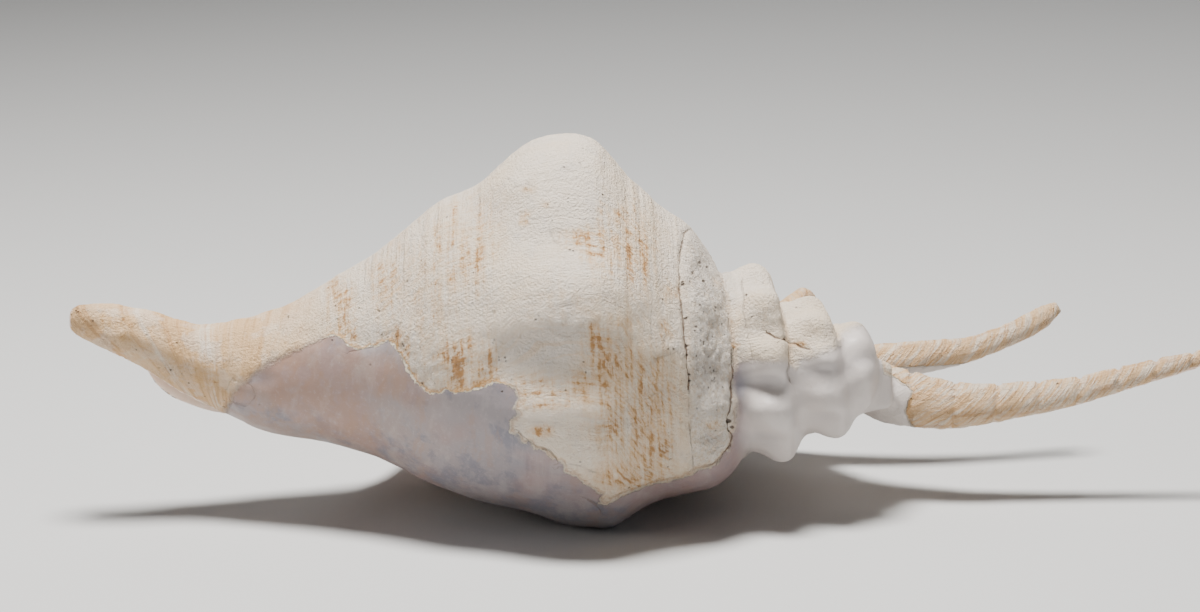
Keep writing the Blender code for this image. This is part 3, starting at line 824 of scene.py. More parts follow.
# Cracks: depth from 0 to 1, then their points. One row is a painted shadow line, drawn as a crack.
CRACKS = (
    (0.9, ((697, 231), (691, 228), (685, 232), (682, 250), (680, 266), (680, 290), (682, 310), (684, 325))),
    (1.0, ((684, 325), (685, 340), (687, 352), (687, 366), (690, 378), (690, 390))),
    (0.6, ((690, 390), (689, 410), (690, 430), (692, 450), (694, 470))),
    (0.9, ((733, 352), (735, 375), (733, 392), (730, 408))),
    (1.0, ((730, 408), (727, 418), (729, 430), (734, 436), (731, 446), (722, 456))),
    (0.5, ((722, 456), (712, 462), (700, 468))),
    (1.0, ((768, 332), (776, 337), (784, 339), (794, 342), (802, 347), (809, 349))),
    (0.75, ((790, 350), (791, 362), (789, 372), (792, 381))),
    (0.4, ((743, 312), (746, 324), (749, 338), (752, 357))),
    (0.35, ((742, 282), (744, 300), (743, 312))),
    (0.2, ((557, 310), (563, 307), (570, 305), (577, 307), (583, 313), (585, 321), (581, 329), (574, 335),
           (567, 338), (561, 336))),
    (0.25, ((551, 233), (554, 241), (558, 243), (560, 236))),
    # This row is a painted shadow line, drawn dark and sunk like a crack
    (0.3, ((655, 358), (667, 355), (677, 351), (680, 360))),
    (0.5, ((518, 432), (526, 440), (537, 447), (549, 451), (556, 459))),
    (0.4, ((560, 467), (571, 464), (583, 468), (596, 473))),
    (0.35, ((588, 500), (594, 503), (600, 510))),
    (0.22, ((226, 391), (230, 384), (240, 380), (252, 386), (256, 396), (248, 406), (236, 403), (227, 397))),
    (0.35, ((229, 384), (233, 378), (238, 382))),
    (0.35, ((517, 189), (524, 184), (532, 186))),
    (0.3, ((352, 352), (371, 348), (386, 343))),
)
# Stains: middle, half width, half height, strength
STREAKS = (
    ((334, 300), 7, 30, 0.6), ((345, 316), 9, 30, 0.85), ((352, 336), 6, 9, 0.9), ((384, 285), 18, 34, 0.4),
    ((395, 275), 5, 40, 0.45), ((436, 252), 5, 34, 0.6), ((452, 252), 6, 42, 0.75),
    ((464, 258), 6, 30, 0.65), ((478, 252), 5, 34, 0.65), ((494, 250), 5, 14, 0.55),
    ((482, 240), 22, 42, 0.3), ((458, 362), 12, 24, 0.85), ((442, 354), 8, 16, 0.65),
    ((469, 346), 8, 16, 0.7), ((487, 362), 12, 22, 0.8), ((398, 336), 12, 12, 0.5),
    ((405, 352), 9, 26, 0.45), ((602, 240), 16, 26, 0.5), ((617, 214), 9, 9, 0.55),
    ((603, 208), 5, 14, 0.45), ((633, 240), 7, 46, 0.5), ((643, 258), 6, 34, 0.6),
    ((651, 250), 6, 26, 0.45), ((608, 262), 10, 18, 0.45), ((597, 346), 12, 20, 0.85),
    ((612, 366), 14, 16, 0.9), ((604, 386), 24, 26, 0.55), ((622, 405), 32, 60, 0.42),
    ((650, 400), 28, 44, 0.5), ((640, 434), 12, 44, 0.65), ((652, 450), 9, 30, 0.6),
    ((664, 446), 9, 12, 0.85), ((616, 425), 10, 14, 0.6), ((672, 292), 9, 10, 0.4),
    ((668, 330), 10, 12, 0.35), ((425, 300), 30, 60, 0.25),
)
# Stains drawn along the growth lines
GRAINS = (
    ((583, 239), 20, 10, 0.75), ((594, 246), 10, 9, 0.75), ((486, 386), 22, 8, 0.7),
    ((466, 382), 24, 8, 0.6), ((542, 392), 38, 7, 0.7), ((545, 404), 34, 6, 0.6), ((536, 380), 28, 7, 0.55),
    ((590, 386), 26, 16, 0.65), ((640, 372), 30, 16, 0.55), ((626, 478), 28, 12, 0.75),
    ((646, 470), 30, 18, 0.6), ((625, 405), 34, 44, 0.4), ((624, 322), 18, 9, 0.4),
    ((602, 250), 24, 16, 0.55), ((616, 428), 18, 18, 0.55), ((655, 440), 20, 30, 0.45),
    ((600, 356), 20, 20, 0.45), ((560, 300), 60, 40, 0.18), ((200, 372), 30, 14, 0.35),
)
# Stains with no grain of their own
PATCHES = (
    ((545, 204), 4, 4, 0.8), ((526, 213), 6, 5, 0.6), ((524, 222), 6, 4, 0.6), ((528, 190), 9, 5, 0.45),
    ((542, 431), 12, 6, 1.0), ((118, 322), 22, 10, 0.7), ((105, 319), 9, 8, 0.5), ((127, 336), 12, 7, 0.6),
    ((146, 345), 16, 12, 0.4), ((176, 352), 18, 10, 0.45), ((196, 366), 14, 16, 0.5),
    ((214, 378), 8, 20, 0.5), ((176, 378), 18, 7, 0.5), ((330, 320), 16, 20, 0.3),
    ((290, 345), 20, 8, 0.35), ((735, 345), 6, 4, 0.8), ((799, 344), 8, 3, 0.85), ((719, 283), 8, 8, 0.4),
    ((712, 425), 8, 6, 0.65), ((762, 406), 4, 2.5, 0.75), ((819, 396), 4, 2.5, 0.75),
    ((756, 300), 14, 12, 0.2), ((735, 322), 10, 18, 0.3), ((462, 374), 26, 14, 0.25),
    ((605, 362), 20, 18, 0.45),
)
# Low swellings and hollows of the body and the ramp: middle, half width, half height, millimetres. The
# shell's material paints the hollows greyer, partly as painted shade.
SWELLINGS = (
    ((706, 306), 16, 20, 1.2), ((713, 410), 14, 12, 1.3), ((710, 462), 12, 10, 0.9),
    ((709, 372), 14, 16, -0.8), ((713, 437), 10, 9, -0.9), ((703, 268), 12, 10, -0.5),
    ((484, 208), 24, 20, -1.0), ((515, 190), 14, 12, 0.6), ((585, 288), 34, 18, 0.9),
    ((548, 350), 56, 26, -0.9), ((560, 412), 50, 20, 0.8), ((640, 300), 24, 20, 0.5),
    ((660, 352), 22, 16, 0.7), ((664, 392), 20, 12, -0.5), ((400, 300), 40, 30, -0.4),
    ((372, 322), 24, 14, 0.5), ((760, 318), 22, 14, 0.5), ((770, 352), 22, 10, -0.4),
    ((236, 392), 18, 10, 0.7), ((262, 380), 14, 8, -0.5), ((766, 409), 22, 13, 1.9),
    ((762, 384), 26, 8, -1.5), ((827, 393), 17, 12, 1.6), ((826, 371), 20, 8, -1.2),
    ((863, 379), 9, 9, 1.0), ((862, 360), 12, 7, -0.7), ((764, 299), 18, 10, 1.0),
    ((760, 330), 22, 8, -0.6), ((812, 320), 14, 10, 0.8), ((768, 347), 22, 9, 0.8),
    ((820, 350), 14, 8, 0.7), ((760, 440), 22, 8, -0.7), ((828, 418), 18, 7, -0.7),
    ((300, 350), 30, 10, 0.4), ((120, 335), 18, 6, 0.6), ((90, 318), 12, 8, 0.5), ((150, 330), 14, 6, -0.4),
)
# How clearly the spiral cords show, from left to right
CORD_ROWS = (
    (60, 0.0), (290, 0.15), (335, 0.55), (375, 0.9), (430, 1.0), (480, 0.9), (505, 0.3), (560, 0.1),
    (588, 0.25), (605, 0.9), (650, 1.0), (685, 0.8), (700, 0.3), (720, 0.1), (760, 0.2), (900, 0.2),
)
# Crumbled patches: middle, half width, half height, strength
CRUMBLED = (
    ((398, 336), 26, 13, 1.0), ((394, 354), 12, 20, 0.8), ((424, 372), 26, 14, 0.6),
    ((492, 358), 18, 14, 0.8), ((712, 360), 22, 34, 1.0), ((712, 300), 20, 22, 0.55),
    ((712, 420), 18, 44, 0.6), ((690, 262), 10, 30, 0.35), ((410, 340), 14, 12, 0.9),
    ((486, 372), 12, 12, 0.6), ((456, 360), 12, 14, 0.45), ((664, 342), 22, 14, 0.5),
    ((664, 452), 16, 10, 0.7), ((762, 318), 20, 12, 0.5), ((563, 322), 26, 18, 0.35),
    ((545, 378), 18, 5, 0.4), ((240, 393), 16, 14, 0.5), ((526, 186), 8, 6, 0.5),
    ((566, 467), 44, 18, 0.35), ((640, 480), 34, 12, 0.35), ((380, 312), 10, 10, 0.35),
    ((78, 314), 16, 13, 1.0), ((118, 345), 30, 6, 0.5), ((170, 372), 24, 8, 0.5),
)
# Worm holes: middle and radius
HOLES = (
    ((701, 262), 1.6), ((708.5, 266.5), 1.2), ((703.5, 281.5), 1.6), ((683, 284.5), 1.4),
    ((682.5, 282), 1.1), ((712.5, 309), 1.2), ((711.5, 312.5), 1.0), ((746.7, 295.5), 1.2),
    ((685.5, 318.5), 1.3), ((695.5, 327), 1.3), ((686.5, 346), 1.6), ((687, 355), 1.5), ((690, 375), 1.4),
    ((690.5, 381), 1.2), ((703, 342), 1.1), ((333, 340.5), 0.8), ((502.5, 391), 1.1), ((548, 205), 0.7),
    ((728.5, 421), 2.2), ((732, 427), 1.6),
)
print("stains:", len(STREAKS) + len(GRAINS) + len(PATCHES), " cracks:", len(CRACKS), " holes:", len(HOLES))

# %% [markdown]
# ## What each point of the skin knows
#
# A material can only paint what it can find. So every vertex gets a few numbers: how far it is inside
# the glaze, how near a crack, how stained, and where it lies along the growth lines. A distance that
# changes evenly stays right between two vertices, so the material can draw an edge from it that is much
# finer than the mesh.

# %% Distances on the picture and on the shell
FAR = 8.0  # millimetres past which a distance no longer matters
CRACK_REACH = (0.9, 1.6)  # millimetres from a crack where its mark fades
PATCH_SHARPNESS = 1.5  # plain patches end more sharply than other stains
# On the sides that the photo hides the glaze lies under the shell's axis and under the lip's middle
SPLIT_TO_LIP = (4.0, 26.0)  # y from which that border leaves the axis, and y where it has reached the lip
GLAZE_DEEPENS = 1.5  # millimetres of depth for one of height there
GLAZE_END = (-92.0, -104.0)  # x where the glaze ends towards the canal
# Growth lines run round the coil and go over to straight lines on the lip
LINES_RADIUS, LINES_LIP_Y = 48.0, 30.0
LINES_TO_LIP, LINES_OVER_RIDGES = (24.0, 46.0), (20, 50)
SUTURES_FROM_X, SPIRE_AXIS_Z, SPIRE_REACH = 12, 40, 36  # where a point counts as on the spire


def to_segments(here, points, closed):
    """Distance of each place to the nearest segment through the points, and its side of that segment."""
    points = np.array(points, float)
    starts = points if closed else points[:-1]
    ends = np.roll(points, -1, 0) if closed else points[1:]
    best = np.full(len(here), np.inf)
    side = np.zeros(len(here))
    for start, end in zip(starts, ends):
        run, off = end - start, here - start
        share = np.clip(off @ run / (run @ run), 0.0, 1.0)
        away = np.linalg.norm(off - share[:, None] * run, axis=1)
        nearer = away < best
        best = np.where(nearer, away, best)
        cross = run[0] * off[:, 1] - run[1] * off[:, 0]
        side = np.where(nearer, np.sign(cross), side)
    return best, side


def inside_outline(here, outline):
    """Whether each place lies inside a closed outline."""
    inside = np.zeros(len(here), bool)
    points = np.array(outline, float)
    for (x1, y1), (x2, y2) in zip(points, np.roll(points, -1, 0)):
        crosses = (y1 > here[:, 1]) != (y2 > here[:, 1])
        reach = x1 + (here[:, 1] - y1) / (y2 - y1 if y2 != y1 else 1.0) * (x2 - x1)
        inside ^= crosses & (here[:, 0] < reach)
    return inside


def glaze_depth(here, shown, places):
    """Millimetres inside the edge of the glaze, less than 0 on the chalk."""
    away, _ = to_segments(here, GLAZE_OUTLINE, True)
    seen = np.where(inside_outline(here, GLAZE_OUTLINE), away, -away) * PIXEL
    x, y, z = places.T
    edges = lip_edges(x)
    back, _ = lip_back(y, edges)
    middle = (back + lip_underside(y, edges)) / 2
    axis = axis_height(x)
    split = axis + (middle - axis) * smooth_step(*SPLIT_TO_LIP, y)
    hidden = (split - z) * GLAZE_DEEPENS - FAR * smooth_step(*GLAZE_END, x)
    return np.clip(hidden * (1 - shown) + seen * shown, -FAR, FAR)


def crack_marks(here, shown):
    """Signed distance in millimetres to the nearest crack, and how strongly it is drawn."""
    across = np.full(len(here), FAR)
    strength = np.zeros(len(here))
    nearest = np.full(len(here), np.inf)
    for depth, points in CRACKS:
        away, side = to_segments(here, points, False)
        nearer = away < nearest
        nearest = np.where(nearer, away, nearest)
        across = np.where(nearer, away * side * PIXEL, across)
        strength = np.where(nearer, depth, strength)
    fade = 1 - smooth_step(*CRACK_REACH, nearest * PIXEL)
    return np.clip(across, -FAR, FAR), strength * fade * shown


def squares_from(here, middle, half_x, half_y):
    """How far each place is from a mark's middle, squared, in the mark's half sizes."""
    return ((here[:, 0] - middle[0]) / half_x) ** 2 + ((here[:, 1] - middle[1]) / half_y) ** 2


def painted(here, shown, marks, sharpness=1.0):
    """The strongest of the soft round marks at each place, each a middle, two half sizes and a strength."""
    total = np.zeros(len(here))
    for middle, half_x, half_y, strength in marks:
        off = squares_from(here, middle, half_x, half_y)
        total = np.maximum(total, strength * np.exp(-(off**sharpness)))
    return total * shown


def swollen(here, shown):
    """Millimetres that the low swellings stand out and the hollows lie in."""
    total = np.zeros(len(here))
    for middle, half_x, half_y, height in SWELLINGS:
        total += height * np.exp(-squares_from(here, middle, half_x, half_y))
    return total * shown


def growth_place(places):
    """Where each point lies across the spiral cords and across the growth lines, in millimetres."""
    x, y, z = places.T
    axis = axis_height(x)
    radius = np.hypot(y, z - axis)
    angle = np.arctan2(z - axis, y)
    angle = np.where(angle < -np.pi / 2, angle + 2 * np.pi, angle)
    turned = np.minimum(radius, LINES_RADIUS) * (np.pi / 2 - angle)
    over_lip = (y - LINES_LIP_Y) * smooth_step(*LINES_TO_LIP, y)
    lines = turned + over_lip + ridge_height(x, y) * smooth_step(*LINES_OVER_RIDGES, y)
    ends = np.array([points[1][:2] for points, _ in FINGERS[1:]], float)
    out = np.clip((y[:, None] - RIDGE_ROOT_Y) / (ends[:, 1] - RIDGE_ROOT_Y), 0.0, 1.0)
    ridges = np.array(RIDGE_STARTS) + (ends[:, 0] - RIDGE_STARTS) * out
    cords = x.copy()
    for near, far, start, end in zip(ridges.T[:-1], ridges.T[1:], RIDGE_STARTS[:-1], RIDGE_STARTS[1:]):
        between = (x <= near) & (x >= far)
        cords = np.where(between, start + (end - start) * (near - x) / (near - far), cords)
    cords = np.where(x > ridges[:, 0], x - ridges[:, 0] + RIDGE_STARTS[0], cords)
    cords = np.where(x < ridges[:, -1], x - ridges[:, -1] + RIDGE_STARTS[-1], cords)
    return np.stack((cords, lines, np.zeros_like(x)), -1)


def suture_distance(places):
    """Signed millimetres along the shell to the nearest suture of the spire."""
    x, y, z = places.T
    turn = (np.arctan2(z - smooth_rows(COIL_ROWS, x)[0], y) / (2 * np.pi)) % 1.0
    whorl = turns_at(x) - turn
    nearest = np.maximum(np.round(whorl), 0.0)
    distance = (whorl - nearest) * PITCH
    spire = (x > SUTURES_FROM_X) & (np.hypot(y, z - SPIRE_AXIS_Z) < SPIRE_REACH)
    return np.where(spire, np.clip(distance, -FAR, FAR), FAR)


# Millimetres along a finger where its own surface starts and where it is full, for the longest and the others
LONG_FINGER_STARTS, FINGER_STARTS = (10, 34), (10.0, 26.0)
FINGER_SAMPLES = 300
FINGER_ROOM = 12  # millimetres round a finger's path in which it can have a surface
FINGER_FADES = (1.15, 1.6)  # radii from the path between which a surface stops being the finger's
FINGER_PLACES = 200.0  # millimetres between the fingers' places in the noise
CORNER_REACH = 24  # samples on each side that round a corner of a finger's path


def run_along(path):
    """The length of a path up to each of its points."""
    return np.concatenate(([0.0], np.cumsum(np.linalg.norm(np.diff(path, axis=0), axis=1))))


def rounded_path(path):
    """The same path with even steps and without corners, by averaging each point with its neighbours."""
    run = run_along(path)
    even = np.linspace(0.0, run[-1], len(path))
    path = np.stack([np.interp(even, run, path[:, i]) for i in range(3)], -1)
    start = path[0] + (path[0] - path[1]) * np.arange(CORNER_REACH, 0, -1)[:, None]
    end = path[-1] + (path[-1] - path[-2]) * np.arange(1, CORNER_REACH + 1)[:, None]
    longer = np.concatenate((start, path, end))
    share = np.hanning(2 * CORNER_REACH + 3)[1:-1]
    share /= share.sum()
    return np.stack([np.convolve(longer[:, i], share, "valid") for i in range(3)], -1)


def finger_marks(places):
    """How much each point belongs to a finger, and its place along and around it in millimetres."""
    weight = np.zeros(len(places))
    place = np.zeros((len(places), 3))
    nearest = np.full(len(places), np.inf)
    for number, (points, radii) in enumerate(FINGERS):
        path, radius = along(points, radii, FINGER_SAMPLES)
        path = rounded_path(path)
        run = run_along(path)
        low, high = path.min(0) - FINGER_ROOM, path.max(0) + FINGER_ROOM
        close = np.flatnonzero(((places > low) & (places < high)).all(1))
        off = places[close, None, :] - path[None, :, :]
        away = np.linalg.norm(off, axis=2)
        i = away.argmin(1)
        away, off = away[np.arange(len(close)), i], off[np.arange(len(close)), i]
        ahead = np.gradient(path, axis=0)[i]
        ahead /= np.linalg.norm(ahead, axis=1)[:, None]
        side = np.cross(ahead, (0.0, 0.0, 1.0))
        side /= np.linalg.norm(side, axis=1)[:, None]
        length = run[i] + (off * ahead).sum(1)
        starts = FINGER_STARTS if number else LONG_FINGER_STARTS
        own = (1 - smooth_step(*FINGER_FADES, away / radius[i])) * smooth_step(*starts, length)
        better = away / radius[i] < nearest[close]
        keep = close[better]
        nearest[keep] = (away / radius[i])[better]
        weight[keep] = own[better]
        around = np.stack((length, (off * side).sum(1), (off * np.cross(side, ahead)).sum(1)), -1)
        place[keep] = around[better] + (number * FINGER_PLACES, 0, 0)
    return weight, place


LINING_REACH = 0.9  # millimetres from the cut hollow within which the surface is its lining
HOLLOW_ROOM = 1  # millimetres round the hollow's box in which its wall is looked for


def lining_weight(places, hollow):
    """1 on the walls of the mouth and the canal's trough, 0 outside."""
    tree = BVHTree.FromPolygons(points_of(hollow).tolist(), [tuple(p.vertices) for p in hollow.polygons])
    distance = np.zeros(len(places))
    low = points_of(hollow).min(0) / MM + ORIGIN - HOLLOW_ROOM
    high = points_of(hollow).max(0) / MM + ORIGIN + HOLLOW_ROOM
    inside = ((places > low) & (places < high)).all(1)
    for i in np.flatnonzero(inside):
        _, _, _, away = tree.find_nearest((places[i] - ORIGIN) * MM)
        distance[i] = away / MM
    return np.where(inside, 1 - smooth_step(LINING_REACH, 2 * LINING_REACH, distance), 0.0)


# %% The numbers on the skin
SEEN = (0.02, 0.16)  # how squarely the surface faces the camera before marks show on it
SEEN_FAR_SIDE = (4.0, 12.0)  # y between which the marks end, since the camera sees only the near side
SEEN_END_X = 62  # past this x is only the finger beside the spire, which has no placed marks
# The spire's tip counts as seen all round: x over which that starts, y over which it ends
SPIRE_SEEN_X, SPIRE_SEEN_Y = (44, 56), (16, 26)
HIDDEN_RIM, HIDDEN_CORDS = 0.45, 0.5  # the glaze's rim and the cords on the sides that the photo hides
# The crumbled band beside the spire: x where it starts, then millimetres from there and y where it fades
BAND_X = 9.2
BAND_STARTS, BAND_ENDS, BAND_FAR_SIDE = (-1.0, 1.5), (10.0, 12.5), (14, 22)


def mark_skin(skin, hollow):
    """Gives the skin all the numbers that its relief and its materials read."""
    places = points_of(skin) / MM + ORIGIN
    normals = np.empty(len(skin.vertices) * 3, np.float32)
    skin.vertex_normals.foreach_get("vector", normals)
    normals = normals.reshape(-1, 3)
    x, y, _ = places.T
    shown = smooth_step(*SEEN, facing_camera(places, normals))
    shown = shown * (1 - smooth_step(*SEEN_FAR_SIDE, y)) * np.where(x > SEEN_END_X, 0.0, 1.0)
    here = seen_at(places)
    shown = np.maximum(shown, smooth_step(*SPIRE_SEEN_X, x) * (1 - smooth_step(*SPIRE_SEEN_Y, y)))
    glaze = glaze_depth(here, shown, places)
    crack, crack_strength = crack_marks(here, shown)
    finger, finger_place = finger_marks(places)
    band = smooth_step(*BAND_STARTS, x - BAND_X) * (1 - smooth_step(*BAND_ENDS, x - BAND_X))
    numbers = {
        "glaze": glaze,
        "rim": smooth_rows(RIM_ROWS, here[:, 0])[0] * shown + HIDDEN_RIM * (1 - shown),
        "crack": crack,
        "crack_strength": crack_strength,
        "streak": painted(here, shown, STREAKS),
        "grain": painted(here, shown, GRAINS),
        "patch": painted(here, shown, PATCHES, PATCH_SHARPNESS),
        "swelling": swollen(here, shown),
        "corded": smooth_rows(CORD_ROWS, here[:, 0])[0] * shown + HIDDEN_CORDS * (1 - shown),
        "crumble": painted(here, shown, CRUMBLED),
        "band": band * (1 - smooth_step(*BAND_FAR_SIDE, y)),
        "suture": suture_distance(places),
        "finger": finger,
        "lining": lining_weight(places, hollow),
        "shown": shown,
    }
    for name, values in numbers.items():
        give_attribute(skin, name, values)
    give_attribute(skin, "growth", growth_place(places), "FLOAT_VECTOR")
    give_attribute(skin, "finger_place", finger_place, "FLOAT_VECTOR")
    front = np.concatenate((here, shown[:, None]), 1)
    give_attribute(skin, "front", front, "FLOAT_VECTOR")
    return numbers


numbers = mark_skin(skin, hollow_skin)
print({name: (round(float(v.min()), 2), round(float(v.max()), 2)) for name, v in numbers.items()})

# %% [markdown]
# ## Effects that the finishes share
#
# Growth lines, stains, pits and a torn edge show on the chalk, on the fingers and in the mouth alike.
# Each is a node group with named inputs, built once and placed where it is needed with its own values.
# A group gives colours, masks and heights only; the shader that uses them stays in the material.


# %% Making a shared effect
def effect(name, takes, gives):
    """An empty shader group: its tree, its inputs by name and a function that feeds an output."""
    tree = bpy.data.node_groups.new(name, "ShaderNodeTree")
    for label, value in takes.items():
        kind = "NodeSocketVector" if value is None else "NodeSocketFloat"
        socket = tree.interface.new_socket(label, in_out="INPUT", socket_type=kind)
        if value is not None:
            socket.default_value = value
    for label in gives:
        tree.interface.new_socket(label, in_out="OUTPUT", socket_type="NodeSocketFloat")
    entry, leaving = tree.nodes.new("NodeGroupInput"), tree.nodes.new("NodeGroupOutput")
    flows = {s.name: Flow(tree, s) for s in entry.outputs if s.name}
    return tree, flows, lambda label, flow: feed(tree, leaving.inputs[label], flow)


def placed(tree, group, **values):
    """A shared effect in a material, with its values; gives its outputs by name."""
    node = tree.nodes.new("ShaderNodeGroup")
    node.node_tree = group
    for name, value in values.items():
        feed(tree, node.inputs[name.replace("_", " ")], value)
    return {s.name: Flow(tree, s) for s in node.outputs}


# %% Lines, torn edge, pits and stains
def growth_effect():
    """Fine lines across one direction of a place in millimetres, and the cords across the other."""
    takes = {"Place": None, "Spacing": 1.0, "Cord Spacing": 1.6}
    tree, take, give = effect("growth_lines", takes, ("Lines", "Cords"))
    x, y, z = parts_of(take["Place"])
    warp = noise_at(take["Place"], 0.07, 2.0) * 4.0
    lines = drawn_out(tree, (y + warp) / take["Spacing"], x * 0.035, z / take["Spacing"])
    give("Lines", noise_at(lines, 1.0, 3.0, 0.55))
    cords = drawn_out(tree, (x + warp * 0.1) / take["Cord Spacing"], y * 0.02, z * 0.02)
    give("Cords", noise_at(cords, 1.0, 3.0, 0.6))
    return tree


def torn_edge_effect():
    """A mask that breaks off along a torn line, its broken rim, pale and partly a painted highlight, and the
    dirt that gathers on it.
    """
    takes = {"Place": None, "Depth": 0.0, "Chip": 0.6, "Rim": 1.0, "Softness": 0.1}
    tree, take, give = effect("torn_edge", takes, ("Inside", "Rim", "Dirt"))
    chips = (noise_at(take["Place"], 0.45, 4.0, 0.62) - 0.5) * take["Chip"]
    fine = (noise_at(take["Place"], 1.7, 4.0, 0.7) - 0.5) * take["Chip"] * 0.5
    depth = take["Depth"] + chips + fine
    give("Inside", depth.step(take["Softness"] * -1.0, take["Softness"]))
    width = noise_at(take["Place"], 0.5, 3.0).step(0.3, 0.7, 0.08, 0.75)
    rim = depth.step(-0.12, 0.02) * (1 - depth.step(width * 0.55, width))
    give("Rim", rim * take["Rim"])
    dirt = depth.step(width * -2.2 - 0.2, 0.0) * (1 - depth.step(-0.05, 0.1))
    give("Dirt", dirt * take["Rim"])
    return tree


def pits_effect():
    """Small sharp pits scattered over a surface, as a mask painted dark as the shade inside them, and as a
    crumbly height.
    """
    tree, take, give = effect("pits", {"Place": None, "Size": 1.0, "Amount": 0.3}, ("Pits", "Crumb"))
    size = 1.0 / take["Size"]
    place = stretched(take["Place"], vector_of(tree, size, size, size))
    cells = flow_of(tree, add_node(tree, "ShaderNodeTexVoronoi", {"feature": "F1"}, Vector=place, Scale=1.0))
    lucky = noise_at(place, 0.55, 2.0) + take["Amount"] * 0.55
    give("Pits", (1 - cells.step(0.12, 0.3)) * lucky.step(0.62, 0.72))
    flakes = noise_at(place, 0.42, 5.0, 0.64)
    crumb = flakes.step(0.4, 0.43) * 0.35 + flakes.step(0.48, 0.5) * 0.35 + flakes.step(0.56, 0.59) * 0.3
    give("Crumb", crumb)
    return tree


def stain_effect():
    """Painted stains broken up into streaks across the growth lines, grains along them and plain patches."""
    takes = {"Place": None, "Streak": 0.0, "Grain": 0.0, "Patch": 0.0}
    tree, take, give = effect("stain", takes, ("Wash", "Stain", "Deep"))
    x, y, z = parts_of(take["Place"])
    wide = noise_at(drawn_out(tree, x * 0.22, y * 0.05, z * 0.05), 1.0, 3.0, 0.55)
    thin = noise_at(drawn_out(tree, x * 0.7, y * 0.07, z * 0.07), 1.0, 3.0, 0.6)
    along_lines = noise_at(drawn_out(tree, y * 0.8, x * 0.09, z * 0.8), 1.0, 4.0, 0.65)
    fleck = noise_at(take["Place"], 0.6, 5.0, 0.7)
    cross = (wide - 0.5) * 1.1 + (thin - 0.5) * 1.8 + (along_lines - 0.5) * 1.1 + (fleck - 0.5) * 1.1
    grain = (along_lines - 0.5) * 2.8 + (thin - 0.5) * 0.7 + (fleck - 0.5) * 1.3
    streaks = take["Streak"] + cross * take["Streak"].step(0.0, 0.5, 0.3, 0.9)
    grains = take["Grain"] + grain * take["Grain"].step(0.0, 0.5, 0.3, 0.75)
    patches = take["Patch"] + (fleck - 0.5) * take["Patch"].step(0.0, 0.5, 0.2, 1.8)
    most = streaks.math("MAXIMUM", grains).math("MAXIMUM", patches)
    all_marks = (take["Streak"] + take["Grain"] + take["Patch"]).clamp()
    give("Wash", all_marks.step(0.05, 0.8) * (thin * 0.7 + fleck * 0.7 + along_lines * 0.6).step(0.8, 1.2))
    give("Stain", most.step(-0.05, 1.2) * fleck.step(0.38, 0.6, 0.4, 1.0) * thin.step(0.36, 0.6, 0.5, 1.0))
    give("Deep", (most + (fleck - 0.5) * 2.0 + (thin - 0.5) * 1.0).step(0.72, 1.15))
    return tree


GROWTH, TORN_EDGE, PITS, STAIN = growth_effect(), torn_edge_effect(), pits_effect(), stain_effect()
print("shared effects:", [group.name for group in (GROWTH, TORN_EDGE, PITS, STAIN)])

# %% [markdown]
# ## Colour, gloss and fine relief
#
# The chalk scatters light in all directions: rough, without gloss, cream where it is sound and tan where
# iron has stained it. The glaze is smooth porcelain, faintly pink and grey. Both are one skin, so one
# material paints them and a mask changes its colour, its roughness and its fine height together, which
# keeps the torn edge sharp. The lining of the mouth is a second material with the same glaze, deeper in
# colour, because it never saw the sun.


# %% Helpers for the materials
def named_value(tree, name, output="Fac"):
    """A shader's reading of a mesh attribute."""
    node = tree.nodes.new("ShaderNodeAttribute")
    node.attribute_name = name
    return Flow(tree, node.outputs[output])


def colour_mix(tree, share, under, over):
    """One colour over another by a share."""
    node = tree.nodes.new("ShaderNodeMix")
    node.data_type = "RGBA"
    feed(tree, node.inputs[0], share)
    for socket, value in ((node.inputs[6], under), (node.inputs[7], over)):
        feed(tree, socket, (*value, 1.0) if isinstance(value, tuple) else value)
    return Flow(tree, node.outputs[2])


def paint(tree, base, *layers):
    """A base colour with layers of (share, colour) over it."""
    for share, colour in layers:
        base = colour_mix(tree, share, base, colour)
    return base


def place_in_mm(tree):
    """The point's place in millimetres."""
    node = tree.nodes.new("ShaderNodeTexCoord")
    return stretched(Flow(tree, node.outputs["Object"]), (1 / MM,) * 3)


def bumped(tree, height_mm):
    """A normal from a height in millimetres."""
    return flow_of(tree, add_node(tree, "ShaderNodeBump", Strength=1.0, Distance=MM, Height=height_mm))


def new_material(name):
    """An empty material: the material, its tree and its main shader."""
    material = bpy.data.materials.new(name)
    material.use_nodes = True
    tree = material.node_tree
    return material, tree, tree.nodes["Principled BSDF"]


# %% The weathered shell
CHALK, CHALK_GREY, CHALK_WARM = (0.81, 0.71, 0.595), (0.57, 0.535, 0.51), (0.82, 0.655, 0.46)
CHALK_WHITE = (0.88, 0.81, 0.73)
# The darkest brown is soil in deep stains, and painted shade inside pits and worm holes.
TAN, RUST, SOIL_AND_HOLE_SHADE = (0.64, 0.36, 0.13), (0.34, 0.15, 0.045), (0.075, 0.05, 0.035)
# The crack colour is dirt in the cracks, and painted shadow on the one shadow line among them.
TAN_SOFT, CRACK_DIRT_AND_SHADOW = (0.74, 0.47, 0.24), (0.17, 0.10, 0.06)
TAN_WASH = (0.70, 0.46, 0.24)
GLAZE, GLAZE_PINK, GLAZE_GREY = (0.33, 0.285, 0.285), (0.375, 0.24, 0.205), (0.18, 0.178, 0.215)
GLAZE_PALE, GLAZE_TAN, GLAZE_WHITE = (0.56, 0.49, 0.465), (0.38, 0.215, 0.13), (0.66, 0.605, 0.57)
RIM_CREAM, PEACH, PEACH_DEEP = (0.86, 0.75, 0.58), (0.78, 0.53, 0.30), (0.56, 0.30, 0.13)


HOLE_EDGE = (0.65, 1.25)  # radii from a worm hole's middle between which its dark fades


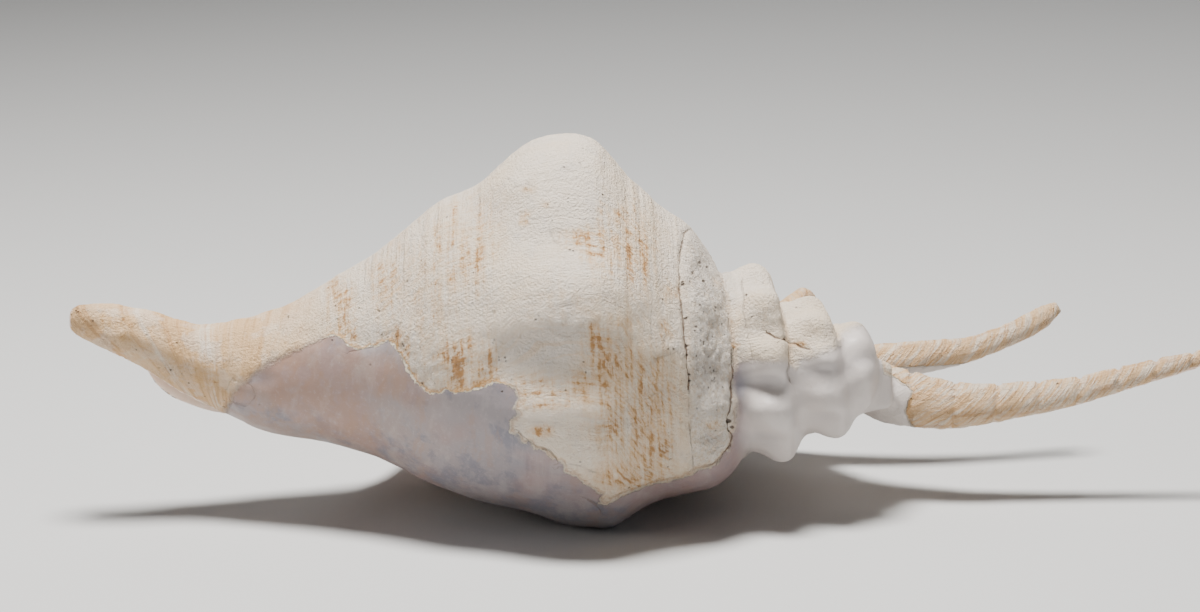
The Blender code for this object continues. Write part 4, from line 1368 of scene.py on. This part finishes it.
def hole_mask(tree):
    """Dark where a worm hole is drawn, as painted shade inside it, read from the photograph's pixels kept on
    the skin.
    """
    px, py, shown = parts_of(named_value(tree, "front", "Vector"))
    total = None
    for (hole_x, hole_y), radius in HOLES:
        off_x, off_y = px - hole_x, py - hole_y
        away = (off_x * off_x + off_y * off_y).math("SQRT") / radius
        one = 1 - away.step(*HOLE_EDGE)
        total = one if total is None else total.math("MAXIMUM", one)
    return total * shown


FAN_MIDDLE = (-112.0, 14.0)  # x and height from which the canal's growth lines spread
CANAL_FROM, CANAL_FULL = -78.0, -108.0  # x where the chalk starts to take the canal's colour
LEFT_GLAZE = (-40.0, -92.0)  # x from which the glaze turns tan towards the canal
GREY_GLAZE = (-66.0, -34.0)  # x from which it is greyer
SPIRE_CALLUS = (20.0, 26.0)  # x where the white callus of the spire starts
FAR_SIDE = (5.0, 40.0)  # y over which that border breaks up, on the side that the photo hides


def weathered_shell():
    """Chalk, glaze and fingers in one material, sorted by the numbers on the skin."""
    material, tree, surface = new_material("weathered_shell")
    place = place_in_mm(tree)
    growth = named_value(tree, "growth", "Vector")
    finger_place = named_value(tree, "finger_place", "Vector")
    finger, band, corded = named_value(tree, "finger"), named_value(tree, "band"), named_value(tree, "corded")
    depth, rim = named_value(tree, "glaze"), named_value(tree, "rim")
    crumble = named_value(tree, "crumble")
    x, y, z = parts_of(place)
    canal = x.step(CANAL_FROM, CANAL_FULL)

    lines = placed(tree, GROWTH, Place=growth, Spacing=0.75, Cord_Spacing=1.5)
    cords, fine_lines = lines["Cords"], lines["Lines"]
    edge = placed(
        tree, TORN_EDGE, Place=place, Depth=depth, Chip=1.9, Rim=rim,
        Softness=(1 - rim.clamp()) * 1.5 + 0.1,
    )
    on_finger = finger * (1 - depth.step(-0.2, 0.2) * 0.85)
    glaze = edge["Inside"] * (1 - on_finger)
    chalk = 1 - glaze
    fan = (x - FAN_MIDDLE[0]).math("ARCTAN2", z - FAN_MIDDLE[1])
    bands = noise_at(drawn_out(tree, fan * 5.5, x * 0.03 + z * 0.03), 1.0, 4.0, 0.6)
    fine_bands = noise_at(drawn_out(tree, fan * 28.0, x * 0.08 + z * 0.08), 1.0, 4.0, 0.66)
    pits = placed(tree, PITS, Place=place, Size=1.5, Amount=crumble * 0.35)
    stain = placed(
        tree, STAIN, Place=growth, Streak=named_value(tree, "streak") + corded * 0.12 + 0.02,
        Grain=named_value(tree, "grain") + 0.04, Patch=named_value(tree, "patch"),
    )
    cloud, mottle = noise_at(place, 0.035, 3.0, 0.55), noise_at(place, 0.15, 4.0, 0.62)
    speck, grit = noise_at(place, 1.6, 3.0, 0.7), noise_at(place, 0.8, 5.0, 0.75)
    shifted_x = x + y.step(*FAR_SIDE) * ((cloud - 0.5) * 90.0 + (mottle - 0.5) * 40.0)
    spire = shifted_x.step(*SPIRE_CALLUS)
    crack = named_value(tree, "crack") + (noise_at(place, 0.9, 4.0, 0.75) - 0.5) * 0.9
    wide = noise_at(place, 0.3, 2.0).step(0.35, 0.65, 0.008, 0.1)
    crack_line = 1 - ((crack * crack) / wide).step(0.2, 1.0)
    drawn = named_value(tree, "crack_strength")
    broken = noise_at(place, 0.22).step(0.38, 0.55, 0.3, 1.0).math("MAXIMUM", drawn.step(0.7, 0.95))
    crack_line = crack_line * drawn * broken
    holes = hole_mask(tree)
    suture = named_value(tree, "suture")
    suture_line = (1 - (suture * suture).step(0.01, 0.5)) * mottle.step(0.3, 0.6, 0.1, 0.6) * chalk
    crumbly = (crumble + band * 0.7).clamp() * chalk
    # The hollows are painted greyer: partly the chalk's own grey tint, partly painted shade where the surface
    # turns down away from the light.
    hollow_shade = (named_value(tree, "swelling") * -1.2).clamp()
    hollows, glaze_hollow_shade = hollow_shade * chalk, hollow_shade * glaze

    chalk_colour = paint(
        tree, CHALK,
        (cloud.step(0.38, 0.66) * 0.5, CHALK_WARM),
        (mottle.step(0.5, 0.72) * (1 - crumbly * 0.7) * 0.35, CHALK_GREY),
        (fine_lines.step(0.55, 0.7) * 0.14, CHALK_GREY), (cords.step(0.5, 0.64) * corded * 0.3, CHALK_WARM),
        (speck.step(0.58, 0.74) * 0.3, CHALK_GREY), (crumbly * grit.step(0.36, 0.56) * 0.85, CHALK_WHITE),
        (pits["Crumb"].step(0.3, 0.0) * (crumbly * 0.14 + 0.06), TAN),
        (crumbly * (1 - grit.step(0.3, 0.42)) * 0.2, CHALK_GREY),
        # painted shade in the hollows, with flecks and fine lines painted into it
        (hollows * 0.5, CHALK_GREY), (hollows * grit.step(0.46, 0.62) * 0.4, CHALK_WHITE),
        (hollows * fine_lines.step(0.5, 0.66) * 0.3, TAN_SOFT), (canal * 0.88, PEACH),
        (canal * bands.step(0.48, 0.6) * 0.75, TAN_SOFT),
        (canal * bands.step(0.36, 0.46, 1.0, 0.0) * 0.5, CHALK_WHITE),
        (canal * fine_bands.step(0.5, 0.62) * 0.55, PEACH_DEEP),
        (canal * mottle.step(0.48, 0.6) * 0.35, CHALK_WHITE),
        (stain["Wash"] * 0.8, TAN_WASH), (stain["Stain"] * 0.8, TAN), (stain["Deep"] * 0.65, RUST),
        (stain["Deep"] * grit.step(0.55, 0.68) * 0.35, SOIL_AND_HOLE_SHADE),
    )
    streaky = stretched(growth, vector_of(tree, 0.16, 0.07, 0.07))
    veins, marbled = noise_at(streaky, 1.0, 5.0, 0.66), noise_at(place, 0.085, 5.0, 0.66)
    left_end = x.step(*LEFT_GLAZE)
    glaze_colour = paint(
        tree, GLAZE,
        (marbled.step(0.47, 0.6) * 0.8, GLAZE_GREY), (cloud.step(0.42, 0.56) * 0.75, GLAZE_PINK),
        (veins.step(0.5, 0.66) * 0.3, GLAZE_PALE), (left_end * mottle.step(0.4, 0.55) * 0.35, GLAZE_TAN),
        (veins.step(0.38, 0.47, 1.0, 0.0) * 0.3, GLAZE_TAN),
        (spire * 0.9, GLAZE_WHITE), (grit.step(0.54, 0.66) * (1 - spire * 0.7) * 0.22, GLAZE_PALE),
        (x.step(*GREY_GLAZE) * (1 - spire) * 0.3, GLAZE_GREY),
        # painted shade in the glaze's hollows
        (glaze_hollow_shade * (1 - spire * 0.6) * 0.6, GLAZE_GREY), (speck.step(0.64, 0.76) * 0.3, GLAZE_TAN),
    )
    strands = placed(tree, GROWTH, Place=finger_place, Spacing=1.5, Cord_Spacing=3.2)
    twist_x, twist_y, twist_z = parts_of(finger_place)
    slant = twist_x - twist_z * 1.2
    oblique = noise_at(drawn_out(tree, slant * 0.5, twist_y * 0.12, twist_z * 0.12), 1.0, 4.0, 0.6)
    oblique_fine = noise_at(drawn_out(tree, slant * 1.5, twist_y * 0.2, twist_z * 0.2), 1.0, 3.0, 0.6)
    finger_colour = paint(
        tree, PEACH,
        (oblique.step(0.46, 0.58) * 0.8, CHALK), (strands["Lines"].step(0.52, 0.66) * 0.5, PEACH_DEEP),
        (oblique_fine.step(0.52, 0.64) * 0.7, PEACH_DEEP),
        (oblique_fine.step(0.3, 0.42, 1.0, 0.0) * 0.4, CHALK_WHITE),
        (mottle.step(0.5, 0.7) * 0.35, CHALK_WARM), (speck.step(0.6, 0.8) * 0.2, CHALK_GREY),
    )
    # The glaze's pits, painted dark below as painted shade inside them.
    dots = placed(tree, PITS, Place=place, Size=2.4, Amount=-0.12)["Pits"] * glaze * (1 - spire)
    colour = paint(
        tree, chalk_colour,
        (on_finger, finger_colour), (glaze, glaze_colour),
        (edge["Dirt"] * 0.7 * chalk, TAN), (edge["Dirt"] * grit.step(0.45, 0.6) * 0.45, RUST),
        # pits, glaze dots and worm holes are painted dark as painted shade inside them; the mesh gives them
        # no depth
        # the cream rim is partly the broken edge's pale colour and partly a painted highlight along the
        # raised glaze edge
        (edge["Rim"] * 0.85, RIM_CREAM), (suture_line * 0.45, TAN), (pits["Pits"] * chalk * 0.7, SOIL_AND_HOLE_SHADE),
        (dots * 0.6, SOIL_AND_HOLE_SHADE), (crack_line * 0.85, CRACK_DIRT_AND_SHADOW), (holes * 0.85, SOIL_AND_HOLE_SHADE),
    )
    tree.links.new(colour.socket, surface.inputs["Base Color"])
    rough = chalk * 0.46 + 0.38 + mottle * 0.1 - on_finger * 0.12
    tree.links.new(rough.socket, surface.inputs["Roughness"])
    tooth = noise_at(place, 1.5, 3.0, 0.66)
    fine = tooth * chalk * (crumbly * 0.5 + 0.95)
    fine = fine + pits["Crumb"] * chalk * (crumbly * 0.7 + corded * 0.14 + 0.06)
    fine = fine + (cords * corded * 1.1 + fine_lines * 0.3) * chalk * (1 - on_finger)
    fine = fine + (oblique * 0.9 + oblique_fine * 0.8 + strands["Lines"] * 0.4) * on_finger
    fine = fine + (bands * 0.6 + fine_bands * 0.7) * canal * chalk + glaze * 0.35 * rim + edge["Rim"] * 0.3
    fine = fine - pits["Pits"] * chalk * 0.6 - dots * 0.3 - crack_line * 0.9 - holes * 0.9 + mottle * 0.35
    tree.links.new(bumped(tree, fine).socket, surface.inputs["Normal"])
    surface.inputs["Specular IOR Level"].default_value = 0.4
    return material


# %% The lining of the mouth
LINING, LINING_DEEP, LINING_PALE = (0.84, 0.66, 0.52), (0.74, 0.46, 0.33), (0.87, 0.78, 0.69)


def mouth_lining():
    """Smooth peach porcelain, with faint lines along the mouth."""
    material, tree, surface = new_material("mouth_lining")
    place = place_in_mm(tree)
    growth = named_value(tree, "growth", "Vector")
    lines = placed(tree, GROWTH, Place=growth, Spacing=2.4, Cord_Spacing=2.6)
    pits = placed(tree, PITS, Place=place, Size=1.6, Amount=0.0)
    z = parts_of(place)[2]
    cloud, mottle = noise_at(place, 0.04, 3.0), noise_at(place, 0.2, 3.0)
    colour = paint(
        tree, LINING,
        (z.step(8.0, 45.0) * 0.6, LINING_DEEP), (cloud.step(0.45, 0.65) * 0.45, LINING_PALE),
        (lines["Cords"].step(0.5, 0.68) * 0.25, LINING_PALE), (mottle.step(0.5, 0.75) * 0.2, LINING_DEEP),
        # pits painted dark as painted shade inside them
        (pits["Pits"] * 0.5, SOIL_AND_HOLE_SHADE),
    )
    tree.links.new(colour.socket, surface.inputs["Base Color"])
    tree.links.new((mottle * 0.14 + 0.24).socket, surface.inputs["Roughness"])
    height = lines["Cords"] * 0.12 + lines["Lines"] * 0.06 + mottle * 0.1 - pits["Pits"] * 0.3
    tree.links.new(bumped(tree, height).socket, surface.inputs["Normal"])
    surface.inputs["Specular IOR Level"].default_value = 0.5
    return material


shell_material, lining_material = weathered_shell(), mouth_lining()
print("nodes in the shell's material:", len(shell_material.node_tree.nodes))

# %% [markdown]
# ## The relief that can be felt
#
# Light shows every step on chalk, so what a finger would feel is geometry: the glaze standing above the
# chalk, the open sutures, cracks, crumbled patches, growth steps and the strands of the fingers. One
# tree moves every vertex along its normal by the sum of these heights, each with an input of its own.
# Noise in a geometry tree is the same noise as in a shader, so both agree on where an edge is torn.

# %% The relief tree
RELIEF_SIZES = {
    "Glaze Step": 0.38,
    "Suture Depth": 0.75,
    "Crack Depth": 0.55,
    "Crumble Depth": 1.0,
    "Flake Height": 0.8,
    "Roughness": 0.75,
    "Band Depth": 0.45,
    "Unevenness": 1.3,
    "Swellings": 1.0,
    "Growth Height": 0.22,
    "Cord Height": 0.5,
    "Strand Height": 0.9,
    "Wrinkle Height": 0.9,
}


RELIEF_CANAL = (-84.0, -112.0)  # x where the canal's wrinkles start


def relief_tree():
    """The tree that raises and sinks the skin by a few tenths of a millimetre."""
    sizes = {**RELIEF_SIZES, "Shell": shell_material, "Lining": lining_material}
    tree, size, leaving = geometry_tree("weathered_relief", sizes)
    place = stretched(flow_of(tree, tree.nodes.new("GeometryNodeInputPosition")), (1 / MM,) * 3)
    growth = attribute_in(tree, "growth", "FLOAT_VECTOR")
    across, line, _ = parts_of(growth)
    finger_place = attribute_in(tree, "finger_place", "FLOAT_VECTOR")
    along_it, side, over = parts_of(finger_place)
    names = ("finger", "lining", "band", "glaze", "rim", "crumble")
    finger, lining, band, depth, rim, crumble = (attribute_in(tree, name) for name in names)
    x, _, _ = parts_of(place)
    chips = (noise_at(place, 0.45, 4.0, 0.62) - 0.5) * 1.3
    glaze = (depth + chips).step(-0.35, 0.25)
    chalk = (1 - glaze) * (1 - lining)
    crack = attribute_in(tree, "crack")
    suture = attribute_in(tree, "suture")
    canal = x.step(*RELIEF_CANAL) * (1 - lining)
    height = glaze * rim * size["Glaze Step"] * (1 - lining) * (1 - finger * 0.4)
    crack_line = (1 - (crack * crack).step(0.0, 0.5)) * attribute_in(tree, "crack_strength")
    height = height - crack_line * size["Crack Depth"]
    suture_line = 1 - (suture * suture).step(0.0, 2.2)
    height = height - suture_line * size["Suture Depth"] * (1 - lining) * (1 - glaze * 0.8)
    flakes = noise_at(place, 0.28, 5.0, 0.64)
    flakes = flakes.step(0.4, 0.44) * 0.35 + flakes.step(0.48, 0.51) * 0.35 + flakes.step(0.56, 0.6) * 0.3
    height = height + (noise_at(place, 0.6, 4.0, 0.65) - 0.5) * crumble * size["Crumble Depth"] * chalk
    flaky = crumble * 0.6 + band * 0.25 + 0.08
    height = height + (flakes - 0.5) * flaky * size["Flake Height"] * chalk * (1 - finger)
    height = height + (noise_at(place, 0.22, 4.0, 0.6) - 0.5) * size["Roughness"] * chalk * (1 - finger)
    height = height + (noise_at(place, 0.5, 4.0, 0.65) - 0.55) * band * size["Band Depth"] * chalk
    height = height + (noise_at(place, 0.06, 3.0, 0.5) - 0.5) * size["Unevenness"] * (1 - lining)
    height = height + attribute_in(tree, "swelling") * size["Swellings"] * (1 - lining)
    steps = noise_at(drawn_out(tree, line * 0.3, across * 0.03), 1.0, 3.0, 0.55)
    height = height + (steps - 0.5) * size["Growth Height"] * chalk * (1 - finger)
    cords = noise_at(drawn_out(tree, across * 0.36, line * 0.012), 1.0, 3.0, 0.55)
    corded = attribute_in(tree, "corded")
    height = height + (cords - 0.5) * size["Cord Height"] * corded * chalk * (1 - finger) * (1 - canal)
    slant = drawn_out(tree, (along_it - over * 1.2) * 0.34, side * 0.1, over * 0.1)
    height = height + (noise_at(slant, 1.0, 3.0, 0.55) - 0.5) * size["Strand Height"] * finger
    folds = noise_at(drawn_out(tree, (x - line * 0.6) * 0.26, line * 0.05), 1.0, 4.0, 0.6)
    height = height + (folds - 0.5) * size["Wrinkle Height"] * canal * chalk * (1 - finger)
    normal = flow_of(tree, tree.nodes.new("GeometryNodeInputNormal"))
    moved = add_node(tree, "GeometryNodeSetPosition", Geometry=size["Geometry"])
    amount = height * MM
    feed(tree, moved.inputs["Offset"], stretched(normal, vector_of(tree, amount, amount, amount)))
    dressed = add_node(tree, "GeometryNodeSetMaterial", Geometry=flow_of(tree, moved), Material=size["Shell"])
    real = add_node(tree, "GeometryNodeRealizeInstances", Geometry=flow_of(tree, dressed))
    lined = add_node(
        tree, "GeometryNodeSetMaterial",
        Geometry=flow_of(tree, real), Selection=lining > 0.5, Material=size["Lining"],
    )
    tree.links.new(lined.outputs[0], leaving.inputs[0])
    return tree, sizes


# %% The finished piece
TRIANGLES_WANTED = 196000


def thinned(mesh, wanted):
    """A mesh with its flat stretches thinned out to a number of triangles."""
    made = linked("thinned", mesh)
    thin = made.modifiers.new("thin", "DECIMATE")
    thin.ratio = wanted / (len(mesh.polygons) * 2)
    return plain_mesh(made)


def kept_in_box(mesh):
    """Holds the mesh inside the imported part's box, which also flattens it where it stands on the floor."""
    low, high = (np.array(corner) for corner in cad_box)
    places = np.clip(points_of(mesh), low, high)
    mesh.vertices.foreach_set("co", np.ascontiguousarray(places, np.float32).ravel())
    mesh.update()


FLOOR_TOUCH = 0.02 * MM  # corners below this height stand on the floor


def floor_faces_outside(mesh):
    """Gives the faces on the floor the outer finish, since thinning stretches them past the mouth."""
    heights = points_of(mesh)[:, 2]
    outer = mesh.materials.find(shell_material.name)
    for face in mesh.polygons:
        if heights[list(face.vertices)].max() < FLOOR_TOUCH:
            face.material_index = outer


tree, sizes = relief_tree()
raised = grown_by(tree, sizes, linked("skin", skin))
kept_in_box(raised)
shell_mesh = thinned(raised, TRIANGLES_WANTED)
floor_faces_outside(shell_mesh)
shell_mesh.shade_smooth()
shell = linked("spider_conch", shell_mesh)
triangles = sum(len(face.vertices) - 2 for face in shell_mesh.polygons)
print("triangles of the shell:", triangles, " materials:", [m.name for m in shell_mesh.materials])

# %% [markdown]
# ## Floor and light
#
# The photograph was taken in a soft box: a large light above and a little in front, and weak light from
# the sides. Large area lights near the shell give the same broad shading and soft shadow. The floor is
# plain and pale, and so is the world behind it, so nothing colours the shell.

# %% The studio
FLOOR_HALF = 4.0  # half the floor's width, in metres
FLOOR_PALE, FLOOR_GREY = (0.60, 0.60, 0.595), (0.58, 0.58, 0.58)
# Lights: name, place in metres, size in metres, power in watts, colour
LIGHTS = (
    ("above", (-0.10, -0.12, 0.95), 0.30, 23.5, (1.0, 0.98, 0.95)),
    ("left", (-1.1, -0.45, 0.45), 0.5, 2.7, (1.0, 0.97, 0.94)),
    ("right", (1.0, -0.7, 0.35), 0.8, 0.9, (0.95, 0.97, 1.0)),
    ("behind", (0.3, 1.1, 0.8), 0.9, 3.0, (1.0, 1.0, 1.0)),
)
LIGHTS_AIM = Vector((0.0, 0.0, 0.04))  # near the shell's middle, in metres
WORLD_LIGHT, WORLD_COLOUR = 0.04, (0.93, 0.95, 1.0, 1.0)


def pale_floor():
    """A large plain floor with the faint tooth of painted board."""
    mesh = bpy.data.meshes.new("floor")
    low, high = -FLOOR_HALF, FLOOR_HALF
    corners = [(low, low, 0.0), (high, low, 0.0), (high, high, 0.0), (low, high, 0.0)]
    mesh.from_pydata(corners, [], [(0, 1, 2, 3)])
    material, tree, surface = new_material("pale_board")
    tooth = noise_at(place_in_mm(tree), 0.5, 3.0)
    colour = paint(tree, FLOOR_PALE, (tooth * 0.05, FLOOR_GREY))
    tree.links.new(colour.socket, surface.inputs["Base Color"])
    tree.links.new((tooth * 0.1 + 0.7).socket, surface.inputs["Roughness"])
    mesh.materials.append(material)
    floor = linked("floor", mesh)


def soft_lights():
    """Large soft lights round the shell, aimed at its middle."""
    for name, place, size, power, colour in LIGHTS:
        data = bpy.data.lights.new(name, "AREA")
        data.shape = "DISK"
        data.size = size
        data.energy = power
        data.color = colour
        light = bpy.data.objects.new(name, data)
        light.location = place
        light.rotation_euler = (LIGHTS_AIM - Vector(place)).to_track_quat("-Z", "Y").to_euler()
        light.visible_camera = False
        bpy.context.scene.collection.objects.link(light)


def pale_world():
    """Even pale light from all round."""
    world = bpy.data.worlds.new("pale_world")
    bpy.context.scene.world = world
    world.use_nodes = True
    background = world.node_tree.nodes["Background"]
    background.inputs["Color"].default_value = WORLD_COLOUR
    background.inputs["Strength"].default_value = WORLD_LIGHT


pale_floor()
soft_lights()
pale_world()
print("lights:", [name for name, *_ in LIGHTS])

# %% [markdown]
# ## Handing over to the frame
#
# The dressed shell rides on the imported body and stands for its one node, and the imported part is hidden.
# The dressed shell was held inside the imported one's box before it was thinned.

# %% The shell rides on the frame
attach(shell, "root")
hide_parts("shell")
